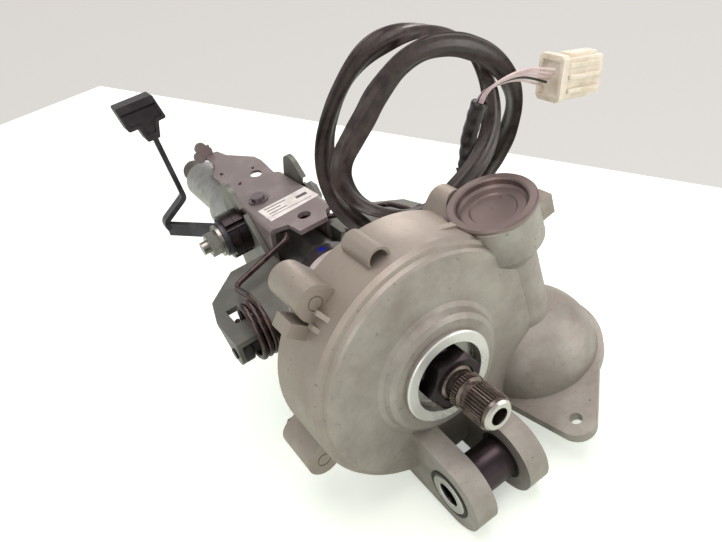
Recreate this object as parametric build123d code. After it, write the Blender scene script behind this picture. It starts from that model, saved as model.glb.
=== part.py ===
from build123d import *
from math import atan2, cos, degrees, pi, radians, sin, tan
import os

# Steering column with its electric assist gear, lying as in the photograph with the worm plug up.
# Frame: origin at the middle of the pivot bolt bore. X runs along the pivot bolt, Y along the
# column from the joint spline to the wheel end, Z up. All sizes are millimetres.

# Running and seating clearances
SLIDE_GAP = 0.25
RUN_GAP = 0.03
ASSEMBLY_GAP = 0.3

# Column line and the stations along it
AXIS_Z = 52.0
SPLINE_TIP_Y = -16.6
RING_FACE_Y = 16.0
DISC_FACE_Y = 24.0
SEAM_Y = 58.0
REAR_COVER_LENGTH = 8.0
LOWER_JACKET_END_Y = 128.0
UPPER_JACKET_START_Y = 104.0
UPPER_JACKET_END_Y = 262.0
SHAFT_END_Y = 349.0

# Gear housing
DISC_R = 61.0
BAND_R = 65.5
BAND_WALL = 7.0
FRONT_WALL = 6.0
BAND_STEP = 4.0
BOSS_R = 32.0
BOSS_HEIGHT = 5.5
RING_OUTER_R = 24.7
RING_BORE_R = 19.0
LUG_R = 9.0
LUG_PLACES = ((70.5, 127.0), (70.5, 207.0), (62.3, 286.0))
BLIND_LUG = (70.5, 47.0)
LUG_LENGTH = 14.0
LUG_RIB = 2.4
STUB_ANGLE = 100.0
STUB_R = 6.0
STUB_LENGTH = 21.0
SQUARE_LUG_ANGLE = 139.0
REAR_LUG_LENGTH = 13.0
REAR_HUB_LENGTH = 12.0
HOUSING_BOLT_R = 3.0
BOLT_HEAD_R = 5.6
BOLT_HEAD_HEIGHT = 5.0

# Output shaft, its bearings and the wheel
SPLINE_R = 9.0
SPLINE_ROOT_R = 8.1
SPLINE_TEETH = 36
SHAFT_BORE_R = 4.5
FRONT_BEARING = (10.0, 21.0, 12.0)
FRONT_BEARING_Y = 20.0
REAR_BEARING = (12.5, 23.5, 12.0)
REAR_BEARING_Y = 50.0
NUT_FLATS = 27.0
NUT_HEIGHT = 9.0
WHEEL_Y = 39.3
WHEEL_WIDTH = 12.0
WHEEL_TEETH = 41
WHEEL_TIP_R = 54.0
WHEEL_TOOTH = 3.0
HUB_R = 44.0

# Worm line, tilted about the column axis, and the castings on it
WORM_TILT = 9.0
WORM_R = 8.8
WORM_GROOVE = 2.6
MESH_GAP = 0.2
CAP_TOP = 51.3
CAP_R = 21.5
CAP_LENGTH = 23.0
TUBE_R = 15.5
TUBE_END = -28.0
WORM_CHAMBER_R = 11.6
UPPER_WORM_BEARING = (6.0, 16.0, 10.0)
LOWER_WORM_BEARING = (6.0, 12.0, 7.0)
PLUG_R = 18.0
PLUG_DEPTH = 10.0
PLUG_FLANGE = 3.0
PLUG_FLANGE_R = 21.9
PLUG_CUP_R = 17.1
PLUG_CUP_DEPTH = 4.5
PLUG_DISC_R = 10.9
BELL_FACE = -61.0
PILOT_R = 33.6
PILOT_DEPTH = 8.0
BELL_R = 40.0
FLANGE_THICKNESS = 6.0
EAR_OFFSET = (-20.0, -51.5)
EAR_R = 10.0
EAR_HOLE_R = 3.25

# Clevis on the pivot bolt
CLEVIS_GAP = 21.2
CLEVIS_LUG = 12.2
CLEVIS_NOSE_R = 20.5
BUSH_R = 13.0
SLEEVE_R = 11.0
PIVOT_BOLT_R = 6.25

# Jacket tubes and the upper end of the column
LOWER_JACKET_R = 24.0
UPPER_JACKET_R = 20.0
UPPER_JACKET_WALL = 2.0
NECK_R = 15.0
NECK_END_Y = 322.0
UPPER_SHAFT_R = 10.5
SHAFT_END_R = 8.8
TORSION_BAR_R = 3.0
STOP_TONGUE = 6.0
STOP_SLOT = 8.4

# Distance bracket welded to the jacket
BRACKET_PLATE = 2.8
DISTANCE_HALF_WIDTH = 20.0
DISTANCE_TOP_Z = 91.0
DISTANCE_FRONT_Y = 127.0
DISTANCE_REAR_Y = 206.0
DISTANCE_HOLE_R = 4.0
RIVET_R = 4.3

# Breakaway bracket bolted to the car
SIDE_PLATE = 3.2
TILT_DOWN = 4.0
TILT_UP = 1.5
BOLT_Y = 180.0
BOLT_Z = 78.0
TILT_BOLT_R = 4.0
HORN_Y = 186.0
HORN_Z = 97.0
HORN_R = 9.0
BRIDGE_Z = 25.0
WING_Z = 70.6
WING_REAR_Y = 155.0
WING_FRONT_Y = 93.0
WINDOW_FRONT_Y = 109.0
WINDOW_REAR_Y = 123.0
RESIN_PIN_X = 52.4
RESIN_PIN_Y = 102.8
RESIN_PIN_R = 2.4

# Tilt springs, each on a spool between two ears of its wing
SPOOL_Y = 101.0
SPOOL_Z = 60.0
SPOOL_CORE_R = 5.0
SPOOL_COLLAR_R = 7.0
SPRING_PIN_R = 3.0
EAR_PLATE = 2.4
SPOOL_INNER_X = 44.4
SPOOL_OUTER_X = 69.0
WIRE_R = 1.6
COIL_R = 14.4
COIL_TURNS = 2.75
COIL_PITCH = 3.3
COIL_INNER_X = 52.4

# Lever stack on the tilt bolt, counted outwards from the left side plate
FIXED_CAM = 5.5
MOVING_CAM = 6.0
CAM_R = 14.0
ARM_THICKNESS = 3.0
ARM_WIDTH = 9.0
THRUST_WASHER = 2.0
TILT_NUT = 6.5
TILT_NUT_FLATS = 13.0

# Sensor harness: tube, its end sleeve, five wires and the connector
HARNESS_R = 4.0
HARNESS_SLEEVE_R = 4.6
WIRE_LEAD_R = 0.75
GROMMET_X = 14.0
GROMMET_Z = 94.0
GROMMET_R = 6.5
GROMMET_END_Y = 70.0
CONNECTOR_SIZE = (33.0, 15.0, 25.0)
CONNECTOR_CENTRE = (156.0, 83.0, 127.0)
CONNECTOR_TURN = 14.0

# Route of the harness, chosen by hand, from the grommet to its end sleeve
HARNESS_ROUTE = [
    (GROMMET_X, GROMMET_END_Y, GROMMET_Z), (GROMMET_X, GROMMET_END_Y + 17, GROMMET_Z),
    (6, 102, 110), (7, 107, 136), (18, 105, 160), (38, 102, 179),
    (66, 101, 181), (92, 100, 170), (107, 97, 148), (106, 91, 124), (90, 81, 111), (68, 78, 100),
    (46, 80, 93), (26, 85, 100), (8, 88, 117), (5, 89, 138), (23, 91, 150), (37, 90, 164),
    (56, 87, 175), (80, 86, 172), (103, 86, 157), (119, 89, 135), (126, 97, 112), (124, 109, 88),
    (115, 119, 66), (101, 121, 46), (86, 111, 34), (77, 95, 42), (76, 84, 62), (77, 85, 83),
    (80, 88, 102)]
SLEEVE_ROUTE = [(80, 88, 102), (83, 88.6, 113.4), (86, 86.4, 125), (90, 83, 137)]
LEAD_ROUTE = [(90, 83, 137), (91.6, 81.6, 141.8), (99, 78.4, 145.2), (111, 77, 145), (125, 79, 139.5),
              (139.8, 83, 131)]

# Switch bracket at the upper end
SWITCH_PLATE = 2.0
SWITCH_PLATE_Z = 77.0


def across_column(y):
    """Plane square to the column at station y, with local x along X and local y along Z."""
    return Plane(origin=(0, y, AXIS_Z), x_dir=(1, 0, 0), z_dir=(0, -1, 0))


COLUMN_SECTION = Plane(origin=(0, 0, AXIS_Z), x_dir=(1, 0, 0), z_dir=(0, 0, 1))
COLUMN_AXIS = Axis((0, 0, AXIS_Z), (0, 1, 0))
TILT = radians(WORM_TILT)
CENTRE_DISTANCE = WHEEL_TIP_R + WORM_R + MESH_GAP
WORM_CENTRE = (CENTRE_DISTANCE * cos(TILT), WHEEL_Y, AXIS_Z + CENTRE_DISTANCE * sin(TILT))
WORM_OUT = (cos(TILT), 0, sin(TILT))
WORM_UP = (-sin(TILT), 0, cos(TILT))
WORM_PLANE = Plane(origin=WORM_CENTRE, x_dir=WORM_OUT, z_dir=WORM_UP)
WORM_SECTION = Plane(origin=WORM_CENTRE, x_dir=WORM_OUT, z_dir=(0, -1, 0))
WORM_AXIS = Axis(WORM_CENTRE, WORM_UP)
CAVITY_R = BAND_R - BAND_WALL
CAVITY_Y = DISC_FACE_Y + FRONT_WALL
REAR_COVER_Y = SEAM_Y + REAR_COVER_LENGTH
REAR_LUG_Y = SEAM_Y + REAR_LUG_LENGTH
REAR_HUB_Y = REAR_COVER_Y + REAR_HUB_LENGTH
CLEVIS_OUTER = CLEVIS_GAP / 2 + CLEVIS_LUG
COIL_HANG = COIL_R - WIRE_R - SPOOL_CORE_R - 2 * ASSEMBLY_GAP
COIL_OUTER_X = COIL_INNER_X + COIL_PITCH * COIL_TURNS
SIDE_INNER_X = DISTANCE_HALF_WIDTH + SLIDE_GAP
SIDE_OUTER_X = SIDE_INNER_X + SIDE_PLATE
WORM_TOP = CAP_TOP - PLUG_DEPTH - 3


def turned(*points):
    """Solid of revolution about the column from (radius, y) points."""
    return revolve(COLUMN_SECTION * make_face(Polyline(*points, close=True)), COLUMN_AXIS)


def column_ring(outer, inner, y0, y1):
    """Plain ring about the column."""
    return turned((inner, y0), (outer, y0), (outer, y1), (inner, y1))


def column_rod(radius, y0, y1):
    """Plain round bar on the column axis."""
    return turned((0, y0), (radius, y0), (radius, y1), (0, y1))


def worm_turned(*points):
    """Solid of revolution about the worm line from (radius, height) points."""
    return revolve(WORM_SECTION * make_face(Polyline(*points, close=True)), WORM_AXIS)


def slab_x(sketch, x0, x1):
    """Plate from a (y, z) outline between two x values."""
    plane = Plane(origin=(x0, 0, 0), x_dir=(0, 1, 0), z_dir=(1, 0, 0))
    return extrude(plane * sketch, x1 - x0)


def slab_y(sketch, y0, y1):
    """Plate across the column from an outline about the column axis."""
    return extrude(across_column(y1) * sketch, y1 - y0)


def slab_z(sketch, z0, z1):
    """Level plate from an (x, y) outline."""
    return extrude(Pos(0, 0, z0) * sketch, z1 - z0)


def rod_x(radius, x0, x1, y=0.0, z=0.0):
    """Round bar along X."""
    return slab_x(Pos(y, z) * Circle(radius), x0, x1)


def outline(*points):
    """Flat face with straight edges."""
    return make_face(Polyline(*points, close=True))


def polar(radius, angle):
    """Point about the column axis, as (x, z) from that axis."""
    return (radius * cos(radians(angle)), radius * sin(radians(angle)))


def lug_sketch():
    """Bolt lugs round the gear case with their webs to the case."""
    sketch = Sketch()
    for radius, angle in LUG_PLACES + (BLIND_LUG,):
        web = Pos(*polar(radius - 10, angle)) * Rot(0, 0, angle) * Rectangle(20, 2 * LUG_R)
        sketch += Pos(*polar(radius, angle)) * Circle(LUG_R) + web
    return sketch


def case_rib(angle, reach):
    """Tapered rib along the band, from its front edge up to the face of a lug."""
    plane = Plane(origin=(0, 0, AXIS_Z), x_dir=(cos(radians(angle)), 0, sin(radians(angle))),
                  z_dir=(-sin(radians(angle)), 0, cos(radians(angle))))
    face = SEAM_Y - LUG_LENGTH
    profile = outline((BAND_R - 4, DISC_FACE_Y + BAND_STEP + 2), (BAND_R - 4, face + 1),
                      (BAND_R + reach, face + 1), (BAND_R + reach - 0.5, face - 2))
    return extrude(plane * profile, LUG_RIB / 2, both=True)


def crest_rib():
    """Low rib from the crest of the case to the plug boss."""
    crest = outline((16, BAND_R - 15), (16, BAND_R - 5.5), (20, BAND_R - 3.2), (37, BAND_R - 7.6),
                    (37, BAND_R - 15))
    return slab_y(crest, WHEEL_Y - 1, WHEEL_Y + 3)


def gear_housing():
    """Front casting: gear case, worm tube, motor bell and the two clevis lugs."""
    boss_face = DISC_FACE_Y - BOSS_HEIGHT
    case = turned(
        (0, RING_FACE_Y), (RING_OUTER_R - 0.8, RING_FACE_Y), (RING_OUTER_R, RING_FACE_Y + 0.8),
        (RING_OUTER_R, boss_face), (BOSS_R - 2.5, boss_face), (BOSS_R, boss_face + 1.5),
        (BOSS_R + 1.5, DISC_FACE_Y - 1), (BOSS_R + 4, DISC_FACE_Y),
        (DISC_R - 1.2, DISC_FACE_Y + 0.8), (DISC_R, DISC_FACE_Y + 2),
        (DISC_R + 1, DISC_FACE_Y + BAND_STEP), (BAND_R - 1.5, DISC_FACE_Y + BAND_STEP + 0.5),
        (BAND_R, DISC_FACE_Y + BAND_STEP + 3), (BAND_R, SEAM_Y), (0, SEAM_Y))
    lugs = slab_y(lug_sketch(), SEAM_Y - LUG_LENGTH, SEAM_Y)
    stub_place = Pos(*polar(BAND_R + 1, STUB_ANGLE))
    stub = slab_y(stub_place * Circle(STUB_R), SEAM_Y - STUB_LENGTH, SEAM_Y)
    stub -= slab_y(stub_place * Circle(STUB_R - 1.4) - Circle(BAND_R), 0, SEAM_Y - STUB_LENGTH + 6)
    square_lug = slab_y(Pos(*polar(BAND_R + 4, SQUARE_LUG_ANGLE)) * Rot(0, 0, SQUARE_LUG_ANGLE)
                        * Rectangle(13, 7), SEAM_Y - LUG_LENGTH + 1, SEAM_Y)
    ribs = case_rib(129.5, 4) + case_rib(135.5, 2) + crest_rib()
    body = case + lugs + stub + square_lug + ribs + worm_tube() + clevis_lugs()
    body -= column_rod(CAVITY_R, CAVITY_Y, SEAM_Y + 1)
    body += column_ring(FRONT_BEARING[1] + 5, RING_BORE_R, CAVITY_Y - 1,
                        FRONT_BEARING_Y + FRONT_BEARING[2])
    body -= column_rod(RING_BORE_R, RING_FACE_Y - 1, CAVITY_Y + 4)
    body -= column_rod(FRONT_BEARING[1], FRONT_BEARING_Y, CAVITY_Y + 4)
    body -= worm_bores()
    face = SEAM_Y - LUG_LENGTH
    for place in LUG_PLACES:
        body -= slab_y(Pos(*polar(*place)) * Circle(HOUSING_BOLT_R), face + 2, SEAM_Y)
        mark = Circle(HOUSING_BOLT_R + 0.7) - Circle(HOUSING_BOLT_R + 0.1)
        body -= slab_y(Pos(*polar(*place)) * mark, face - 1, face + 0.5)
    body -= rod_x(BUSH_R, -CLEVIS_OUTER - 1, CLEVIS_OUTER + 1)
    return body


def worm_tube():
    """Outside of the worm tube with its plug boss and the motor bell."""
    foot = BELL_FACE + FLANGE_THICKNESS
    top = CAP_TOP - PLUG_FLANGE
    core = worm_turned((0, top), (CAP_R - 0.8, top), (CAP_R - 0.3, top - 0.6),
                       (CAP_R, CAP_TOP - CAP_LENGTH), (TUBE_R, CAP_TOP - CAP_LENGTH - 9),
                       (TUBE_R, TUBE_END), (0, TUBE_END))
    core += extrude(WORM_PLANE * Pos(CAP_R - 1.8, -8, 31) * Rectangle(12, 8), 11)
    dome = make_face(Curve() + [
        ThreePointArc((TUBE_R, TUBE_END + 4), (TUBE_R + 14, TUBE_END - 7), (BELL_R - 3, foot)),
        Polyline((BELL_R - 3, foot), (0, foot), (0, TUBE_END + 4), (TUBE_R, TUBE_END + 4))])
    bell = revolve(WORM_SECTION * dome, WORM_AXIS)
    return core + bell + extrude(WORM_PLANE * Pos(0, 0, BELL_FACE) * flange_sketch(), FLANGE_THICKNESS)


def flange_sketch():
    """Motor flange with its two ears."""
    sketch = Sketch() + Circle(BELL_R)
    for sign in (1, -1):
        ear = Pos(sign * EAR_OFFSET[0], sign * EAR_OFFSET[1]) * Circle(EAR_R)
        sketch += make_hull(Circle(BELL_R - 2).edges() + ear.edges())
    return sketch


def worm_bores():
    """Everything hollow inside the worm tube and the motor bell."""
    foot = BELL_FACE + PILOT_DEPTH
    lower_end = TUBE_END - 5
    chamber = worm_turned((0, lower_end), (WORM_CHAMBER_R, lower_end), (WORM_CHAMBER_R, CAP_TOP),
                          (0, CAP_TOP))
    lower = worm_turned((0, BELL_FACE), (LOWER_WORM_BEARING[1], BELL_FACE),
                        (LOWER_WORM_BEARING[1], lower_end + LOWER_WORM_BEARING[2]),
                        (0, lower_end + LOWER_WORM_BEARING[2]))
    seat = WORM_TOP - UPPER_WORM_BEARING[2]
    upper = worm_turned((0, seat), (UPPER_WORM_BEARING[1], seat), (UPPER_WORM_BEARING[1], CAP_TOP),
                        (0, CAP_TOP))
    plug_seat = worm_turned((0, CAP_TOP - PLUG_DEPTH), (PLUG_R, CAP_TOP - PLUG_DEPTH),
                            (PLUG_R, CAP_TOP + 1), (0, CAP_TOP + 1))
    dome = make_face(Curve() + [
        ThreePointArc((LOWER_WORM_BEARING[1], lower_end), (TUBE_R + 7, foot + 7.5), (PILOT_R, foot)),
        Polyline((PILOT_R, foot), (PILOT_R, BELL_FACE - 1), (0, BELL_FACE - 1), (0, lower_end),
                 (LOWER_WORM_BEARING[1], lower_end))])
    bell = revolve(WORM_SECTION * dome, WORM_AXIS)
    seat = CAP_TOP - PLUG_FLANGE
    flange_seat = worm_turned((0, seat), (PLUG_FLANGE_R + ASSEMBLY_GAP, seat),
                              (PLUG_FLANGE_R + ASSEMBLY_GAP, CAP_TOP + 8), (0, CAP_TOP + 8))
    bores = chamber + lower + upper + plug_seat + flange_seat + bell
    for sign in (1, -1):
        hole = WORM_PLANE * Pos(sign * EAR_OFFSET[0], sign * EAR_OFFSET[1], BELL_FACE - 1)
        bores += extrude(hole * Circle(EAR_HOLE_R), FLANGE_THICKNESS + 12)
    return bores


def clevis_lugs():
    """The two lugs that carry the pivot bolt, reaching back under the gear case."""
    side = make_hull(Circle(CLEVIS_NOSE_R).edges() + Polyline(
        (DISC_FACE_Y + 8, 24), (SEAM_Y, -8), (SEAM_Y - 4, -17), (8, -18)).edges())
    lugs = Part()
    for sign in (-1, 1):
        x0 = sign * CLEVIS_GAP / 2
        x1 = sign * (CLEVIS_GAP / 2 + CLEVIS_LUG)
        lugs += slab_x(side, min(x0, x1), max(x0, x1))
    return lugs


def rear_cover():
    """Rear casting: closes the gear case, holds the rear bearing and carries the lower jacket."""
    bearing_r = REAR_BEARING[1]
    body = turned((0, REAR_BEARING_Y), (bearing_r + 5, REAR_BEARING_Y), (bearing_r + 5, SEAM_Y),
                  (BAND_R, SEAM_Y), (BAND_R, REAR_COVER_Y - 2), (BAND_R - 2, REAR_COVER_Y),
                  (LOWER_JACKET_R + 10, REAR_COVER_Y), (LOWER_JACKET_R + 5, REAR_HUB_Y), (0, REAR_HUB_Y))
    body += slab_y(lug_sketch(), SEAM_Y, REAR_LUG_Y)
    for radius, angle in LUG_PLACES:
        rib = Pos(*polar(radius - 9, angle)) * Rot(0, 0, angle) * Rectangle(14, 6)
        body += slab_y(rib, REAR_COVER_Y - 2, REAR_COVER_Y + 4)
    body -= bell_clearance()
    grommet = Pos(GROMMET_X, GROMMET_Z - AXIS_Z)
    body -= slab_y(grommet * Circle(GROMMET_R), SEAM_Y - 1, REAR_COVER_Y + 1)
    body -= slab_y(grommet * Circle(GROMMET_R + 2 + ASSEMBLY_GAP), REAR_COVER_Y, REAR_LUG_Y + 1)
    body -= column_rod(bearing_r, REAR_BEARING_Y - 1, REAR_BEARING_Y + REAR_BEARING[2])
    body -= column_rod(bearing_r - 3, REAR_BEARING_Y, REAR_HUB_Y + 1)
    body -= column_rod(LOWER_JACKET_R, REAR_COVER_Y + 4, REAR_HUB_Y + 1)
    for place in LUG_PLACES:
        body -= slab_y(Pos(*polar(*place)) * Circle(HOUSING_BOLT_R), SEAM_Y - 1, REAR_LUG_Y + 1)
    return body


def bell_clearance():
    """Room that the rear casting leaves round the motor bell and the worm tube."""
    gap = ASSEMBLY_GAP
    foot = BELL_FACE + FLANGE_THICKNESS
    return worm_turned((0, BELL_FACE - 1), (BELL_R + gap, BELL_FACE - 1), (BELL_R + gap, foot + 3),
                       (TUBE_R + 18, TUBE_END - 6), (TUBE_R + gap, TUBE_END + 6),
                       (TUBE_R + gap, CAP_TOP - CAP_LENGTH - 10),
                       (PLUG_FLANGE_R + gap, CAP_TOP - CAP_LENGTH - 1),
                       (PLUG_FLANGE_R + gap, CAP_TOP + 5), (0, CAP_TOP + 5))


def housing_bolts():
    """Flanged hexagon bolts that close the gear case from behind."""
    bolts = []
    for polar_place in LUG_PLACES:
        place = Pos(*polar(*polar_place))
        shank = slab_y(place * Circle(HOUSING_BOLT_R), SEAM_Y - LUG_LENGTH + 3, REAR_LUG_Y)
        head = slab_y(place * RegularPolygon(BOLT_HEAD_R - 0.6, 6), REAR_LUG_Y,
                      REAR_LUG_Y + BOLT_HEAD_HEIGHT)
        washer = slab_y(place * Circle(BOLT_HEAD_R + 1), REAR_LUG_Y, REAR_LUG_Y + 1.2)
        bolts.append(shank + head + washer)
    return Compound(children=bolts)


def ball_bearing(make_ring, inner, outer, start, width):
    """Outer ring, inner ring and the sealed space between them, as one solid."""
    shield = 0.8
    race = make_ring(outer, inner, start, start + width)
    groove = make_ring(outer - 0.28 * (outer - inner), inner + 0.28 * (outer - inner),
                       start - 1, start + shield)
    back = make_ring(outer - 0.28 * (outer - inner), inner + 0.28 * (outer - inner),
                     start + width - shield, start + width + 1)
    return race - groove - back


def worm_ring(outer, inner, h0, h1):
    """Plain ring about the worm line."""
    return worm_turned((inner, h0), (outer, h0), (outer, h1), (inner, h1))


def output_bearings():
    """Front and rear bearings of the output shaft."""
    front = ball_bearing(column_ring, FRONT_BEARING[0], FRONT_BEARING[1], FRONT_BEARING_Y,
                         FRONT_BEARING[2])
    rear = ball_bearing(column_ring, REAR_BEARING[0], REAR_BEARING[1], REAR_BEARING_Y, REAR_BEARING[2])
    return Compound(children=[front, rear])


def worm_bearings():
    """Upper and lower bearings of the worm."""
    seat = WORM_TOP - UPPER_WORM_BEARING[2]
    upper = ball_bearing(worm_ring, UPPER_WORM_BEARING[0], UPPER_WORM_BEARING[1], seat,
                         UPPER_WORM_BEARING[2])
    lower = ball_bearing(worm_ring, LOWER_WORM_BEARING[0], LOWER_WORM_BEARING[1], TUBE_END - 5,
                         LOWER_WORM_BEARING[2])
    return Compound(children=[upper, lower])


def worm_plug():
    """Flanged cup that closes the worm tube, with a sunken disc in its floor."""
    foot = CAP_TOP - PLUG_DEPTH
    seat = CAP_TOP - PLUG_FLANGE
    floor = CAP_TOP - PLUG_CUP_DEPTH
    plug = worm_turned((0, foot), (PLUG_R, foot), (PLUG_R, seat),
                       (PLUG_FLANGE_R - 0.8, seat), (PLUG_FLANGE_R, seat + 0.7),
                       (PLUG_FLANGE_R, CAP_TOP - 0.8), (PLUG_FLANGE_R - 0.9, CAP_TOP),
                       (PLUG_CUP_R + 0.8, CAP_TOP), (PLUG_CUP_R, CAP_TOP - 0.8),
                       (PLUG_CUP_R - 0.4, floor + 1.2), (PLUG_CUP_R - 1.6, floor),
                       (PLUG_DISC_R + 0.8, floor), (PLUG_DISC_R, floor - 0.8), (0, floor - 0.8))
    mark = WORM_PLANE * Pos(PLUG_DISC_R - 2.4, 3.7, floor - 1.2) * Circle(0.5)
    return plug - extrude(mark, 3)


def splined(radius, root, teeth, y0, y1):
    """Serrated length of shaft with pointed teeth."""
    points = []
    for i in range(teeth):
        for step, r in ((0, root), (0.3, radius), (0.6, radius)):
            angle = 2 * pi * (i + step) / teeth
            points.append((r * cos(angle), r * sin(angle)))
    return slab_y(outline(*points), y0, y1)


def output_shaft():
    """Output shaft from the joint spline to the torque sensor socket."""
    r = SPLINE_ROOT_R
    bearing_end = FRONT_BEARING_Y + FRONT_BEARING[2]
    rear = REAR_BEARING[0] - RUN_GAP
    shaft = turned(
        (0, SPLINE_TIP_Y), (r - 1.3, SPLINE_TIP_Y), (r - 0.1, SPLINE_TIP_Y + 1.2), (r, -13.6), (r, -2),
        (r - 1.2, -0.8), (r - 1.2, 1.6), (r, 2.8), (r, 6), (r - 0.3, 8), (r - 0.3, 10.5),
        (FRONT_BEARING[0] - 0.4, 11.5), (FRONT_BEARING[0] - 0.4, FRONT_BEARING_Y - 0.3),
        (FRONT_BEARING[0] - RUN_GAP, FRONT_BEARING_Y), (FRONT_BEARING[0] - RUN_GAP, bearing_end),
        (rear - 0.6, bearing_end), (rear - 0.6, 46.5), (rear + 2, 46.5), (rear + 2, 49.7),
        (rear, 49.7), (rear, 80), (0, 80))
    shaft += splined(SPLINE_R, r - 0.1, SPLINE_TEETH, -13.6, -2)
    shaft += splined(SPLINE_R, r - 0.1, SPLINE_TEETH, 2.8, 6)
    shaft -= column_rod(SHAFT_BORE_R, SPLINE_TIP_Y - 1, SPLINE_TIP_Y + 11)
    shaft -= column_rod(TORSION_BAR_R + 0.5, 12, 81)
    slot = slab_y(Rectangle(40, STOP_SLOT), 66, 81)
    return shaft - slot


def output_nut():
    """Locknut in the machined ring."""
    start = FRONT_BEARING_Y - 0.3 - NUT_HEIGHT
    nut = slab_y(RegularPolygon(NUT_FLATS / 2, 6, major_radius=False), start, start + NUT_HEIGHT)
    nut &= turned((0, start), (12.6, start), (16, start + 2.2), (16, start + 9), (0, start + 9))
    return nut - column_rod(FRONT_BEARING[0] - 0.4, start - 1, start + NUT_HEIGHT + 1)


def wheel_hub():
    """Steel hub of the worm wheel with its lightening pockets."""
    y0 = WHEEL_Y - WHEEL_WIDTH / 2
    y1 = WHEEL_Y + WHEEL_WIDTH / 2
    bore = REAR_BEARING[0] - RUN_GAP - 0.6
    hub = turned((bore, y0), (22, y0), (24, y0 + 3), (HUB_R - 4, y0 + 3), (HUB_R - 3, y0 + 1),
                 (HUB_R, y0 + 1), (HUB_R, y1 - 1), (HUB_R - 3, y1 - 1), (HUB_R - 4, y1 - 3),
                 (24, y1 - 3), (22, y1), (bore, y1))
    for i in range(6):
        hub -= slab_y(Pos(*polar(32, 60 * i)) * Circle(5), y0 - 1, y1 + 1)
    return hub


def wheel_rim():
    """Moulded nylon rim with the worm wheel teeth."""
    y0 = WHEEL_Y - WHEEL_WIDTH / 2
    y1 = WHEEL_Y + WHEEL_WIDTH / 2
    points = []
    for i in range(WHEEL_TEETH):
        for step, r in ((0, -WHEEL_TOOTH), (0.3, -WHEEL_TOOTH), (0.45, 0), (0.85, 0)):
            angle = 2 * pi * (i + step) / WHEEL_TEETH
            points.append(((WHEEL_TIP_R + r) * cos(angle), (WHEEL_TIP_R + r) * sin(angle)))
    return slab_y(outline(*points), y0, y1) - column_rod(HUB_R, y0 - 1, y1 + 1)


def worm_shaft():
    """Worm with its journals and the thread form cut as rings."""
    r0 = UPPER_WORM_BEARING[0] - RUN_GAP
    foot = -46
    lead = 4.4
    points = [(0, foot), (r0 - 0.5, foot), (r0, foot + 0.5), (r0, -24.5), (WORM_R - 2, -24.5),
              (WORM_R - WORM_GROOVE, -22)]
    for i in range(10):
        h = -22 + i * lead
        points += [(WORM_R, h + 0.9), (WORM_R, h + 2.4), (WORM_R - WORM_GROOVE, h + 3.3),
                   (WORM_R - WORM_GROOVE, h + lead)]
    points += [(WORM_R - WORM_GROOVE, 24.5), (r0 + 1.5, 26), (r0 + 1.5, 28), (r0, 28), (r0, WORM_TOP - 0.5),
               (r0 - 0.5, WORM_TOP), (0, WORM_TOP)]
    return worm_turned(*points)


def worm_coupling():
    """Jaw coupling half that meets the motor shaft."""
    hub = worm_ring(12.5, UPPER_WORM_BEARING[0] - RUN_GAP, -46, -38)
    for i in range(3):
        jaw = WORM_PLANE * Rot(0, 0, 120 * i) * Pos(8.8, 0, -50) * Rectangle(6.4, 6)
        hub += extrude(jaw, 4)
    return hub


def pivot_bushes():
    """Split bushes in the two clevis lugs."""
    bushes = []
    for sign in (-1, 1):
        x0 = sign * CLEVIS_GAP / 2
        x1 = sign * (CLEVIS_OUTER + 0.6)
        ring = slab_x(Circle(BUSH_R) - Circle(SLEEVE_R + RUN_GAP), min(x0, x1), max(x0, x1))
        slit = slab_x(Pos(9, -9) * Rot(0, 0, -45) * Rectangle(14, 1.6), min(x0, x1) - 1,
                      max(x0, x1) + 1)
        bushes.append(ring - slit)
    return Compound(children=bushes)


def pivot_sleeve():
    """Steel distance sleeve through the clevis that the pivot bolt clamps to the car."""
    half = CLEVIS_OUTER + 1.0
    sleeve = rod_x(SLEEVE_R, -half, half) - rod_x(PIVOT_BOLT_R, -half - 1, half + 1)
    return chamfer(sleeve.edges().filter_by(GeomType.CIRCLE), 0.6)


def lower_jacket():
    """Lower jacket tube between the gear case and the sliding jacket."""
    start = REAR_COVER_Y + 4
    return turned((LOWER_JACKET_R - 2.5, start), (LOWER_JACKET_R, start),
                  (LOWER_JACKET_R, LOWER_JACKET_END_Y - 1), (LOWER_JACKET_R - 1, LOWER_JACKET_END_Y),
                  (UPPER_JACKET_R, LOWER_JACKET_END_Y), (UPPER_JACKET_R, UPPER_JACKET_START_Y - 4),
                  (LOWER_JACKET_R - 2.5, UPPER_JACKET_START_Y - 6))


def sensor_coil():
    """Torque sensor coil housing inside the lower jacket."""
    start = REAR_COVER_Y + 4
    return column_ring(LOWER_JACKET_R - 2.5, 16, start + 1, start + 25)


def sensor_sleeve():
    """Slotted sleeve on the shafts that the sensor coil reads."""
    sleeve = column_ring(14.5, REAR_BEARING[0] - RUN_GAP, 82, 94)
    for i in range(8):
        sleeve -= slab_y(Pos(*polar(14.5, 45 * i)) * Rot(0, 0, 45 * i) * Rectangle(3, 3), 84, 92)
    return sleeve


def upper_jacket():
    """Upper jacket tube, drawn down to the neck that holds the upper bearing."""
    r = UPPER_JACKET_R
    w = UPPER_JACKET_WALL
    cone = UPPER_JACKET_END_Y + 9
    return turned((r - w, UPPER_JACKET_START_Y), (r, UPPER_JACKET_START_Y), (r, UPPER_JACKET_END_Y),
                  (NECK_R, cone), (NECK_R, NECK_END_Y), (SHAFT_END_R + 2.5, NECK_END_Y),
                  (SHAFT_END_R + 2.5, NECK_END_Y - 2), (NECK_R - w, NECK_END_Y - 2), (NECK_R - w, cone),
                  (r - w, UPPER_JACKET_END_Y))


def upper_bearing():
    """Bearing in the neck of the upper jacket."""
    return ball_bearing(column_ring, SHAFT_END_R + 0.4, NECK_R - UPPER_JACKET_WALL, NECK_END_Y - 10, 8)


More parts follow.
